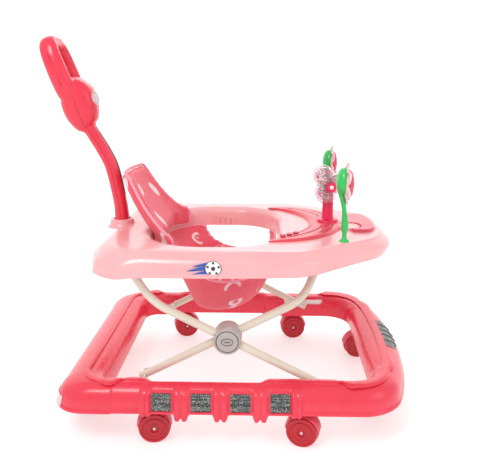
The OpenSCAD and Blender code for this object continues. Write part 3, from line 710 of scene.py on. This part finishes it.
def makeFrames():
    front = tubeAlong(framePath(cross["innerY"], cross["barHalf"], 1), cross["tube"], sides=6)
    finished(front, "frontTube", "front_frame", "tube", ["front_frame_tube"], 60)
    rear = tubeAlong(framePath(cross["outerY"], cross["outerY"], -1), cross["tube"], sides=6)
    finished(rear, "rearTube", "rear_frame", "tube", ["rear_frame_tube"], 60)
    caps, cores, rims = [], [], []
    middle = (cross["innerY"] + cross["outerY"]) / 2
    r = cross["hubRadius"]
    capTop = cross["outerY"] + cross["tube"] + 9
    innerTop = cross["innerY"] - cross["tube"] - 3
    for side in (1, -1):
        out = (0, side, 0)
        spot = (0, 0, cross["hubZ"])
        cap = [(0, middle + 0.5), (r - 1, middle + 0.5), (r, middle + 1.5), (r, capTop - 5),
               (r - 0.8, capTop - 2.4), (r - 3, capTop - 0.8), (r - 4.6, capTop - 0.8),
               (r - 5.1, capTop - 2.6), (r - 6.4, capTop - 2.6), (r - 6.9, capTop - 0.6),
               (r - 12, capTop), (6, capTop - 0.6), (0, capTop - 0.7)]
        caps.append(spun(cap, 56, spot, out))
        rims.append(spun([(r - 6.6, capTop - 2.4), (r - 6.0, capTop - 1.9), (r - 5.2, capTop - 2.3)], 56,
                         spot, out))
        core = [(0, middle - 0.5), (r - 1, middle - 0.5), (r, middle - 1.5), (r, innerTop + 3),
                (r - 2.4, innerTop), (11, innerTop - 0.2), (10, innerTop + 1), (0, innerTop + 1)]
        cores.append(spun(core, 56, spot, out))
    finished(joined(caps), "hubCaps", "rear_frame", "hub", ["hub_caps"], 30)
    finished(joined(rims), "hubGrooves", "rear_frame", "hubDark", (), 60)
    finished(joined(cores), "hubBacks", "front_frame", "hub", ["hub_inner_shells"], 30)
    marks = []
    for side in (1, -1):  # a plain raised oval with a bar in place of any mark
        y = side * (capTop + 0.1)
        oval = [(11 * cos(a), y, cross["hubZ"] + 7 * sin(a)) for a in (tau * k / 40 for k in range(40))]
        marks.append(tubeAlong(oval, 0.7, closed=True))
        marks.append(tubeAlong([(-6, y, cross["hubZ"]), (6, y, cross["hubZ"])], 0.8))
    finished(joined(marks), "hubOvals", "rear_frame", "hubDark", (), 60)


makeFrames()
print("crossed frame")

# tray
tray = {
    "front": 337, "rear": 265, "half": 242, "top": 372, "corner": 100, "nose": 115, "noseY": 48,
    "sideX": 120, "openFront": 98, "openRear": 160, "openHalf": 168, "openCornerFront": 100,
    "openCornerRear": 110, "middle": -30,
}


def arcPoints(x, y, r, a0, a1, n=14):
    return [(x + r * cos(radians(a)), y + r * sin(radians(a)))
            for a in (a0 + (a1 - a0) * k / n for k in range(n + 1))]


def trayOutline():
    cy, noseX = tray["half"] - tray["corner"], tray["front"] - tray["nose"]
    flank = degrees(atan2(noseX - tray["sideX"], cy - tray["noseY"]))
    half = arcPoints(noseX, tray["noseY"], tray["nose"], 0, flank + 3)
    half += arcPoints(tray["sideX"], cy, tray["corner"], flank + 4, 90)
    half += arcPoints(tray["corner"] - tray["rear"], cy, tray["corner"], 90, 180)
    return half + [(x, -y) for x, y in reversed(half)]


def openingOutline(grow=0.0):
    fx, fy = tray["openFront"] - tray["openCornerFront"], tray["openHalf"] - tray["openCornerFront"]
    rx, ry = tray["openCornerRear"] - tray["openRear"], tray["openHalf"] - tray["openCornerRear"]
    half = arcPoints(fx, fy, tray["openCornerFront"] + grow, 0, 90, 20)
    half += arcPoints(rx, ry, tray["openCornerRear"] + grow, 90, 180, 20)
    return half + [(x, -y) for x, y in reversed(half)]


def rayHit(outline, turn, centre=(tray["middle"], 0)):
    # where a ray from the centre, at an angle, meets a closed outline
    dx, dy = cos(turn), sin(turn)
    best = 0.0
    for (x1, y1), (x2, y2) in zip(outline, outline[1:] + outline[:1]):
        ex, ey = x2 - x1, y2 - y1
        cut = dx * ey - dy * ex
        if abs(cut) < 1e-9:
            continue
        ax, ay = x1 - centre[0], y1 - centre[1]
        reach = (ax * ey - ay * ex) / cut
        share = (ax * dy - ay * dx) / cut
        if -1e-6 <= share <= 1 + 1e-6 and reach > best:
            best = reach
    return best


# share from the opening to the outer edge, mm further out, mm above the tray's top
traySection = [
    (0, 0, -46), (0, 0, -36), (0, 0.4, -24), (0, 1.6, -15.5), (0, 4, -10), (0, 8, -6.2), (0, 13, -3.2),
    (0, 20, -1.2), (0, 28, -0.3), (0.48, 0, 0), (1, -33, -0.4), (1, -24, -3), (1, -15.5, -8),
    (1, -9, -14.2), (1, -4.6, -21), (1, -2, -28), (1, -0.6, -34), (1, 0, -38), (1, 1.4, -40.6),
    (1, 2.0, -42.4), (1, 1.4, -44.2), (1, -0.6, -45.2),
]


def lobes(turn):
    # two soft lobes at each rear corner, told by the angle from straight behind
    back = 180 - abs(degrees(turn)) if abs(turn) <= pi else 180 - abs(degrees(turn) - 360)
    return 7.0 * hump(back, 25, 7, 9) + 7.5 * hump(back, 48, 5, 9) - 4.5 * hump(back, 36, 0.5, 5)


def makeTray():
    outer, opening = trayOutline(), openingOutline()
    count = 240
    reaches = []
    for k in range(count):
        turn = tau * k / count
        reaches.append((turn, rayHit(opening, turn), rayHit(outer, turn)))

    def place(u, v):
        turn, near, far = reaches[round(u * count) % count]
        share, further, up = splineAt(traySection, v)
        bulge = lobes(turn) * hump(v, 0.86, 0.12, 0.2)
        under = min(max((-up - 14) / 32, 0.0), 1.0) ** 1.6  # the nose is tucked in more towards its foot
        tuck, rear = max(cos(turn), 0.0) ** 2 * share, max(-cos(turn), 0.0) ** 2 * share
        reach = near + (far - near) * share + further + bulge - tuck * (3 + 19 * under) - 6 * rear
        z = tray["top"] + up - (bulge * 0.55 if v > 0.75 else 0) + 4 * tuck * under
        return tray["middle"] + reach * cos(turn), reach * sin(turn), z

    shell = wrapGrid(count, 84, place)
    thicken(shell, 2.4)
    collar = spun([(33, -7), (28.5, -3), (26, 2), (24.8, 6.4), (23.4, 8.8), (21.4, 10), (18.5, 10),
                   (17.6, 8.6), (17.6, -4)], 48, (25 - tray["rear"], 0, tray["top"]))
    finished(joined([shell, collar]), "trayShell", "tray", "tray", ["tray_shell"])


makeTray()
print("tray")

# panels and buttons on the tray
panel = {"x": 69, "radius": 165.6, "innerX": 14, "innerRadius": 148.9, "sweep": 88, "high": 7.0,
         "frontHalf": 78, "frontX": 262, "cupX": 246, "cupY": -36, "cupRadius": 25}
buttonSpots = [(105, -128), (118, -118), (131, -106)]


def crescentReach(turn):
    # a ray from the outer arc's centre to the inner arc, and to the outer one
    gap = panel["x"] - panel["innerX"]
    along = gap * cos(turn)
    inner = sqrt(along * along + panel["innerRadius"] ** 2 - gap * gap) - along
    middle = (inner + panel["radius"]) / 2
    half = max(panel["radius"] - middle, 19) * max(1 - abs(degrees(turn) / panel["sweep"]) ** 7, 0.0) ** 0.5
    return middle - half, middle + half


def crescentPoint(turn, share, up):
    near, far = crescentReach(turn)
    reach = near + (far - near) * share
    return panel["x"] + reach * cos(turn), reach * sin(turn), tray["top"] + up


def makePanels():
    sweep = radians(panel["sweep"])

    def place(u, v):
        turn = -sweep + 2 * sweep * u
        ends = sqrt(max(1 - abs(2 * u - 1) ** 5, 0))
        share = 0.5 + (v - 0.5) * (0.02 + 0.98 * ends)
        edge = min(v, 1 - v)
        up = panel["high"] * ends * (1 - (1 - min(edge / 0.13, 1)) ** 2) - 0.6
        dip = 1.7 * hump(v, 0.46, 0.004, 0.03) * hump(abs(2 * u - 1), 0.5, 0.26, 0.06)
        dip += 1.7 * hump(v, 0.72, 0.004, 0.03) * hump(abs(2 * u - 1), 0.3, 0.16, 0.05)
        dip += 1.2 * hump(v, 0.16, 0.02, 0.03) * hump(abs(2 * u - 1), 0.0, 0.75, 0.1)
        return crescentPoint(turn, share, up - dip)

    crescent = wrapGrid(150, 70, place)
    finished(crescent, "toyPanel", "tray", "panel", ["toy_panel"], 60)
    grooves = []
    for share, low, high in ((0.46, -0.76, -0.26), (0.46, 0.26, 0.76),
                             (0.72, -0.46, -0.14), (0.72, 0.14, 0.46)):
        turns = [sweep * (low + (high - low) * k / 14) for k in range(15)]
        grooves.append(tubeAlong([crescentPoint(t, share, panel["high"] - 1.8) for t in turns], 1.2))
    finished(joined(grooves), "panelGrooves", "tray", "groove", (), 60)

    def nose(u, v):
        y = panel["frontHalf"] * (2 * u - 1)
        bulge = max(1 - abs(y / (panel["frontHalf"] + 0.01)) ** 2.6, 0) ** (1 / 2.6)
        right, left = panel["frontX"] + 42 * bulge, panel["frontX"] - 24 * bulge
        aside = y - panel["cupY"]
        if abs(aside) < panel["cupRadius"]:
            left = max(left, panel["cupX"] + sqrt(panel["cupRadius"] ** 2 - aside ** 2) * 0.95)
        edge = min(v, 1 - v, u * 3, (1 - u) * 3)
        up = 11 * (1 - (1 - min(edge / 0.12, 1)) ** 2) - 5
        return left + (right - left) * v, y, tray["top"] + up

    pad = wrapGrid(80, 40, nose)
    finished(pad, "frontPanel", "tray", "panel", ["front_panel"])
    cup = spun([(22.5, -4), (22.5, 3.6), (21.4, 4.6), (20, 4.4), (18.6, 3.2), (14, 2.8), (0, 2.8)], 48,
               (panel["cupX"], panel["cupY"], tray["top"]))
    finished(cup, "cupRing", "tray", "tray")
    for i, (x, y) in enumerate(buttonSpots, 1):
        knob = spun([(0, -9), (4.7, -9), (4.9, 7.5), (4.6, 9.2), (3.6, 9.9), (0, 10)], 28,
                    (x, y, tray["top"]))
        finished(knob, f"button{i}", f"button_{i}", "button", [f"button_{i}"])
        well = tubeAlong([(x + 5.7 * cos(a), y + 5.7 * sin(a), tray["top"] + 6.4)
                          for a in (tau * k / 24 for k in range(24))], 0.6, closed=True)
        finished(well, f"buttonWell{i}", "tray", "groove")


makePanels()


sticker = {"x": -22, "z": 346, "radius": 14.5, "spots": 10.5, "section": 0.76}


def makeBallSticker():
    # a plain play ball with four streaks behind it, printed on both flanks of the tray
    discs, patches, streaks = [], [], []
    ballX, ballZ = sticker["x"], sticker["z"]
    out = splineAt(traySection, sticker["section"])[1]
    y0 = tray["half"] + 0.3
    for side in (-1, 1):
        def flank(u, v, cx, cz, r, lift=0.0):
            a = tau * u
            return cx + r * v * cos(a), side * (y0 + out + lift), cz + r * v * sin(a)
        discs.append(wrapGrid(40, 4, lambda u, v: flank(u, v, ballX, ballZ, sticker["radius"])))
        rim = sticker["radius"] + 0.4
        patches.append(wrapGrid(40, 2, lambda u, v: flank(u, 0.93 + 0.07 * v, ballX, ballZ, rim, 0.15)))
        for k in range(6):  # five spots round a middle one
            px = ballX + (0 if k == 5 else sticker["spots"] * cos(tau * k / 5 + 0.3))
            pz = ballZ + (0 if k == 5 else sticker["spots"] * sin(tau * k / 5 + 0.3))
            patches.append(wrapGrid(5, 1, lambda u, v: flank(u, v, px, pz, 4.4 if k == 5 else 2.6, 0.25)))
        for drop, length, thick in ((9, 30, 3.4), (2, 40, 4.4), (-6, 34, 3.8), (-11, 22, 2.4)):
            def streak(u, v):
                half = thick * (1 - u) ** 0.7
                z = ballZ + drop - 0.18 * length * u + half * (v - 0.5) * 2
                return ballX - 8 - length * u, side * (y0 + out - 0.05), z
            streaks.append(wrapGrid(14, 3, streak))
    for group, name, material in ((discs, "stickerBall", "white"), (patches, "stickerPatches", "black"),
                                  (streaks, "stickerStreaks", "blue")):
        finished(thicken(joined(group), 0.25, 0), name, "tray", material)


makeBallSticker()
print("tray panels")

# push handle
handle = {
    "lowEnd": (-328, 0, 640), "highEnd": (-365, 0, 743), "seamY": 48.6, "medal": (-281, -5, 636),
    # middle x, z, half depth, half width
    "stem": [(-240, 378, 15, 18), (-241, 410, 14, 17.5), (-247, 450, 13.5, 17), (-257, 497, 13.5, 16.5),
             (-272, 530, 13.5, 16.5), (-288, 558, 13.5, 16.5), (-297, 573, 14, 17), (-302, 581, 24, 22),
             (-307, 594, 31, 27), (-311, 608, 35.5, 31), (-315, 626, 37, 33), (-319, 643, 35, 34),
             (-328, 661, 27, 34), (-333, 673, 16, 24)],
}


def makeHandle():
    stem = handle["stem"]

    def place(u, v):
        x, z, depth, width = splineAt(stem, v)
        before, after = splineAt(stem, max(v - 0.02, 0)), splineAt(stem, min(v + 0.02, 1))
        lean = Vector((after[0] - before[0], 0, after[1] - before[1])).normalized()
        forward = Vector((lean.z, 0, -lean.x))
        a = tau * u
        power = 2.6
        size = (abs(cos(a)) ** power + abs(sin(a)) ** power) ** (-1 / power)
        spot = Vector((x, 0, z)) + forward * depth * size * cos(a)
        return spot.x, width * size * sin(a), spot.z

    shaft = wrapGrid(40, 90, place)
    startEdit(shaft, "DESELECT")
    bpy.ops.mesh.select_non_manifold()
    bpy.ops.mesh.edge_face_add()
    endEdit()
    startEdit(shaft)
    bpy.ops.mesh.fill_holes(sides=0)
    bpy.ops.mesh.normals_make_consistent(inside=False)
    endEdit()
    lowEnd, highEnd = Vector(handle["lowEnd"]), Vector(handle["highEnd"])
    rise = highEnd - lowEnd
    up = rise.normalized()
    forward = Vector((up.z, 0, -up.x))

    def loop(u, v):
        turn, a = tau * u, tau * v
        # a rounded frame: the path's half width and how far along the rise it is
        path = Vector((0, 34 * copysign(abs(sin(turn)) ** 0.62, sin(turn)), 0))
        share = 0.5 + 0.5 * copysign(abs(cos(turn)) ** 0.7, cos(turn))
        centre = lowEnd + rise * share + path
        away = (path + up * (share - 0.5) * rise.length).normalized()
        thick = 14.5 + 2.5 * (1 - share)
        crest = hump(share, 1, 0.02, 0.06)
        depth = 21.5 - 2.5 * share - 2.4 * crest * hump(cos(a), 0, 0.12, 0.3)
        sideways = copysign(abs(sin(a)) ** 0.85, sin(a))
        return tuple(centre + away * thick * cos(a) + forward * depth * sideways)

    ring = wrapGrid(80, 28, loop)
    body = joined([shaft, ring])
    modify(body, "REMESH", mode="VOXEL", voxel_size=2.4 * mm)
    modify(body, "SMOOTH", factor=0.5, iterations=7)
    finished(body, "pushHandle", "tray", "handle",
             ["handle_front_shell", "handle_rear_shell"], 60)

    seams = []
    for side in (1, -1):
        faces = [splineAt(stem, 0.02 + 0.9 * k / 40) for k in range(41)]
        seams.append(tubeAlong([(x, side * (width - 0.25), z) for x, z, depth, width in faces], 0.55))
        rail = [tuple(lowEnd + rise * t + Vector((0, side * handle["seamY"], 0)))
                for t in (0.2, 0.4, 0.6, 0.8)]
        seams.append(tubeAlong(rail, 0.5))
    finished(joined(seams), "handleSeam", "tray", "groove", (), 60)

    def frontStrip(u, v):
        share = 0.12 + 0.35 * v
        x, z, depth = splineAt(stem, share)[:3]
        half = 3.4 * min(1, 8 * v, 8 * (1 - v) + 0.05)
        return x + depth + 0.3 - 0.25 * abs(2 * u - 1) ** 2, half * (2 * u - 1), z + 3
    strip = wrapGrid(6, 40, frontStrip)
    thicken(strip, 1.2, 0)
    finished(strip, "handleStrip", "tray", "strip", ["handle_strip"])
    medal = spun([(0, -3), (14.5, -3), (15, 0.4), (14.2, 1.6), (12.6, 1.7), (12, 0.9), (11.4, 0.9),
                  (10.6, 1.8), (0, 2.4)], 48, handle["medal"], (0.95, -0.2, 0.25))
    finished(medal, "handleMedal", "tray", "emblem", ["handle_emblem"], 30)


makeHandle()
print("push handle")

# seat
seat = {
    "topX": -221, "topZ": 488, "topHalf": 64, "wingTurn": 66, "pad": 13, "bottom": 338, "wingX": -50,
    "legX": 10, "legZ": 331, "legLong": 84, "legHigh": 50, "legY": 58, "legFront": 82, "rim": 330,
    # the sling: reach behind, to the side and ahead of the middle, height
    "levels": [(74, 138, 127, 290), (56, 118, 116, 256), (48, 98, 102, 228), (40, 78, 80, 206),
               (30, 48, 54, 193), (14, 20, 24, 189), (0, 0, 0, 188)],
}


def puff(piece, cap, pressure=4.0, voxel=5.0, frames=20):
    # cloth under light pressure; each point may move no further than cap (mm)
    modify(piece, "REMESH", mode="VOXEL", voxel_size=voxel * mm)
    start = [v.co.copy() for v in piece.data.vertices]
    only(piece)
    piece.modifiers.new("cloth", "CLOTH")
    cloth = piece.modifiers["cloth"]
    cloth.settings.use_pressure = True
    cloth.settings.uniform_pressure_force = pressure
    cloth.settings.effector_weights.gravity = 0
    cloth.settings.quality = 6
    for k in range(1, frames + 1):
        bpy.context.scene.frame_set(k)
    bpy.ops.object.modifier_apply(modifier="cloth")
    bpy.context.scene.frame_set(1)
    for vertex, before in zip(piece.data.vertices, start):
        move = vertex.co - before
        if move.length > cap * mm:
            vertex.co = before + move.normalized() * cap * mm
    modify(piece, "SUBSURF", levels=1, render_levels=1)
    return piece


def backPoint(u, v):
    # u from the right wing to the left one, v from inside the tray's opening up to the top edge
    turn = radians(seat["wingTurn"]) * (2 * u - 1)
    reach = rayHit(openingOutline(-11), pi + turn, (seat["wingX"], 0))
    low = Vector((seat["wingX"] + reach * cos(pi + turn), reach * sin(pi + turn), 0))
    side = 1 - 2 * u
    top = Vector((seat["topX"] + 38 * side * side, seat["topHalf"] * sin(pi / 2 * side) * 1.45, 0))
    climb = 0.27 + 0.73 * hump(abs(side), 0, 0.62, 0.36)
    share = v * climb
    lean = max((share - 0.2) / 0.8, 0.0)
    spot = low + (top - low) * lean
    spot.x -= 6 * sin(pi * lean)
    spot.z = seat["bottom"] + (seat["topZ"] - seat["bottom"]) * share
    return spot


def makeSeatBack():
    wing = wrapGrid(64, 26, lambda u, v: tuple(backPoint(u, v)))
    thicken(wing, seat["pad"] - 3, 0)
    puff(wing, 5.0, pressure=3.0, voxel=4.5)
    finished(wing, "seatBack", "tray", "cloth", ["seat_back"], 60)
    edge = [backPoint(0, k / 20) for k in range(20)] + [backPoint(k / 60, 1) for k in range(61)]
    edge += [backPoint(1, 1 - k / 20) for k in range(1, 21)]
    pipe = tubeAlong([tuple(p) for p in edge], 3.0, sides=3)
    finished(pipe, "seatBackPiping", "tray", "piping", (), 60)
    seams = []
    for u in (0.24, 0.76):
        seams.append(tubeAlong([tuple(backPoint(u, 0.04 + 0.92 * k / 20) + Vector((seat["pad"] * 0.52, 0, 0)))
                                for k in range(21)], 1.5))
    finished(joined(seams), "seatBackSeams", "tray", "piping", (), 60)


def slingPoint(turn, v):
    # v from the rim down to the lowest point
    rim = rayHit(openingOutline(-5), turn, (-40.0, 0.0))
    c, s = cos(turn), sin(turn)
    ahead, behind = max(c, 0.0) ** 1.5, max(-c, 0.0) ** 1.5
    rows = [(rim, seat["rim"]), (rim - 8 - 16 * behind, seat["rim"] - 18)]
    rows += [(side + (front - side) * ahead + (rear - side) * behind, z)
             for rear, side, front, z in seat["levels"]]
    reach, z = splineAt(rows, v)
    reach = max(reach, 0.0)
    return -40 + reach * c, reach * s, z


def makeSling():
    sling = wrapGrid(120, 44, lambda u, v: slingPoint(tau * u, v))

    def legShare(x, z):
        return (x - seat["legX"]) / seat["legLong"], (z - seat["legZ"]) / seat["legHigh"]

    dropFaces(sling, lambda x, y, z: abs(y) > seat["legY"] and x < seat["legFront"]
              and sum(k * k for k in legShare(x, z)) < 1)
    startEdit(sling, "DESELECT")
    bpy.ops.mesh.select_non_manifold(extend=False)
    endEdit()
    for vertex in sling.data.vertices:  # the cut edge is drawn to the hole's outline
        x, y, z = vertex.co / mm
        along, up = legShare(x, z)
        reach = hypot(along, up)
        if vertex.select and abs(y) > 60 and x < 78 and 0.75 < reach < 1.3 and z < 328.5:
            vertex.co.x = (seat["legX"] + seat["legLong"] * along / reach) * mm
            vertex.co.z = (seat["legZ"] + seat["legHigh"] * up / reach) * mm
    modify(sling, "SMOOTH", factor=0.35, iterations=3)
    hem = sling.copy()
    hem.data = sling.data.copy()
    bpy.context.collection.objects.link(hem)
    startEdit(hem, "DESELECT")
    bpy.ops.mesh.select_mode(type="EDGE")
    bpy.ops.mesh.select_non_manifold(extend=False, use_wire=False, use_multi_face=False,
                                     use_non_contiguous=False, use_verts=False)
    bpy.ops.mesh.select_all(action="INVERT")
    bpy.ops.mesh.delete(type="EDGE")
    endEdit()
    bpy.ops.object.convert(target="CURVE")
    hem = bpy.context.object
    hem.data.bevel_depth = 2.6 * mm
    hem.data.bevel_resolution = 2
    only(hem)
    bpy.ops.object.convert(target="MESH")
    finished(weld(bpy.context.object, 0.000005), "seatSlingHems", "tray", "piping", (), 60)
    thicken(sling, 4.0, 0)
    puff(sling, 3.0, pressure=1.2, voxel=4.0, frames=12)
    finished(sling, "seatSling", "tray", "cloth", ["seat_sling"], 60)


makeSeatBack()
makeSling()
print("seat")

# toys
toys = {"flowerX": 224, "flowerY": 142, "flowerZ": 484, "rattleX": 205, "rattleZ": 460}


def makeFlower(side, word):
    x, y, z = toys["flowerX"] - 7, side * toys["flowerY"], toys["flowerZ"]
    face = Vector((1, 0, 0))
    petals = []
    for k in range(6):
        a = tau * (k + 0.5) / 6

        def petal(u, v, a=a):
            t = tau * u
            long, wide = 16.5 * cos(t) * v, 14.5 * sin(t) * v * (1 - 0.16 * cos(t))
            r = 25 + long
            up = 3.6 * sqrt(max(1 - v ** 2.5, 0)) + 0.0035 * r * r
            dy, dz = r * cos(a) - wide * sin(a), r * sin(a) + wide * cos(a)
            return x + 3.4 + up, y + dy, z + dz
        leaf = wrapGrid(28, 7, petal)
        thicken(leaf, 2.6)
        petals.append(leaf)
    petals.append(spun([(0, 3.2), (22, 3.2), (23, 4.4), (23, 7.5), (21, 9.2), (0, 9.5)], 36, (x, y, z), face))
    finished(joined(petals), f"petals{word}", f"flower_{word.lower()}", "petal",
             [f"flower_petals_{word.lower()}"], 50)
    eye = spun([(0, 8), (25, 8), (26.6, 9.4), (26.4, 11.6), (23.6, 15.4), (18.6, 17.4), (17.2, 16.6),
                (15.8, 17.6), (9, 19.6), (0, 20.2)], 44, (x, y, z), face)
    dots = []
    for k in range(10):
        a = tau * k / 10
        dots.append(spun([(2.2, 0), (2.0, 1.2), (1.2, 2.0), (0, 2.2)], 12,
                         (x + 15.2, y + 21.2 * cos(a), z + 21.2 * sin(a)), face))
    finished(joined([eye, *dots]), f"flowerEye{word}", f"flower_{word.lower()}", "panel",
             [f"flower_centre_{word.lower()}"], 40)


def makeStems():
    parts = []
    x, z = toys["flowerX"] - 7, toys["flowerZ"]
    rows = [(-9, 0, 10.5), (-4, 0, 11), (1, 0, 9.6), (4, 0, 6.4), (9, 0, 4.4), (16, 0, 4.6), (24, 0, 6.6),
            (33, 0, 7.0), (42, -0.4, 6.2), (50, -1, 4.9), (62, -2.4, 4.5), (76, -5, 4.7), (88, -8, 5.4),
            (98, -11, 6.2)]
    for side in (1, -1):
        y = side * toys["flowerY"]

        def stalk(u, v, y=y):
            up, back, radius = splineAt(rows, v)
            turn = tau * u
            return toys["flowerX"] - 1 + back + radius * cos(turn), y + radius * sin(turn), tray["top"] + up
        parts.append(wrapGrid(28, 52, stalk))

        def cap(u, v, y=y):
            # a rounded drop with its point upwards
            turn, lean = tau * u, pi / 2 * v
            size = 24 * sin(lean) * (1 + 0.12 * sin(turn) ** 3)
            back = x + 3.4 - 17 * cos(lean) ** 0.8
            return back, y + size * cos(turn) * 0.92, z + 2 + size * sin(turn) * 1.08
        dome = wrapGrid(36, 12, cap)
        parts.append(thicken(dome, 1.6))
    finished(joined(parts), "flowerStems", "tray", "green", ["flower_stems"], 50)


def makeRattle():
    x, z, top = toys["rattleX"], toys["rattleZ"], tray["top"]
    parts = [spun([(0, 0), (23, 0), (23, 8.4), (21.6, 10.4), (15, 12.4), (0, 13)], 40, (x - 1, 0, top))]
    rows = [(9, 13, 11), (20, 11.5, 9), (40, 11.3, 8), (62, 11, 7), (80, 10.5, 6.4), (92, 9.4, 6.4),
            (98, 4, 5)]

    def post(u, v):
        up, depth, width = splineAt(rows, v)
        a = tau * u
        size = (abs(cos(a)) ** 5 + abs(sin(a)) ** 5) ** -0.2
        flute = 1 - 0.1 * hump(abs(cos(a)), 0, 0.12, 0.12)
        return x - 1 + depth * size * cos(a), width * size * flute * sin(a), top + up

    parts.append(wrapGrid(44, 24, post))
    finished(joined(parts), "rattleStand", "tray", "magenta", ["rattle_stand"], 45)
    shells, beads = [], []
    for side in (1, -1):
        for k in range(3):
            a = radians(128 + 120 * k)
            centre = Vector((x + 20 * cos(a), side * 17.5, z + 20 * sin(a)))
            half = [(21.8 * sin(pi * j / 18) ** 0.8, -9.2 * cos(pi * j / 18)) for j in range(19)]
            shells.append(thicken(spun(half, 36, centre, (0, 1, 0)), 0.9))
            for j in range(34):
                while True:
                    offset = Vector((random.uniform(-1, 1), random.uniform(-0.4, 0.4),
                                     random.uniform(-1, 0.9)))
                    if 0.15 < offset.length < 0.86:
                        break
                nothingSelected()
                spot = centre + Vector((offset.x * 19, offset.y * 11, offset.z * 19))
                bpy.ops.mesh.primitive_ico_sphere_add(subdivisions=2, radius=random.uniform(1.5, 2.6) * mm,
                                                      location=spot * mm)
                bead = bpy.context.object
                bpy.ops.object.transform_apply(location=True, rotation=True, scale=True)
                for key in ("beadPink", "beadWhite", "beadGold"):
                    bead.data.materials.append(materials[key])
                for face in bead.data.polygons:
                    face.material_index = j % 3
                beads.append(bead)
    finished(joined(shells), "rattleLobes", "rattle", "clear", ["rattle_shell"], 60)
    finished(joined(beads), "rattleBeads", "rattle", None, ["rattle_beads"], 60)
    bosses, pips = [], []
    for side in (1, -1):
        bosses.append(spun([(0, 8), (7, 8), (7, 25), (10.4, 26), (10.6, 28.4), (9.6, 29.6), (5, 29.8),
                            (0, 29.8)], 32,
                           (x + 3, 0, z - 4), (0, side, 0)))
        pips.append(spun([(0, 29.4), (4.2, 29.4), (4.2, 30.6), (3.4, 31.2), (1.4, 31.2), (0, 30.4)], 24,
                         (x + 3, 0, z - 4), (0, side, 0)))
    finished(joined(bosses), "rattleBosses", "rattle", "magenta", (), 40)
    finished(joined(pips), "rattlePips", "rattle", "beadWhite", (), 40)


makeFlower(-1, "Right")
makeFlower(1, "Left")
makeStems()
makeRattle()
print("toys")

# CAD nodes that stay, with better materials
kept = {
    "caster_pins": "zinc", "rear_pivot_bolts": "zinc", "hub_rivets": "zinc", "slider_bolts": "zinc",
    "rear_tube_clamps": "hub", "front_tube_guides": "hub", "sound_module": "black", "battery_cover": "handle",
    "seat_clips": "tray",
}
for name, key in kept.items():
    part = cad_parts[name]
    part.data.materials.clear()
    part.data.materials.append(materials[key])
print("kept parts painted")
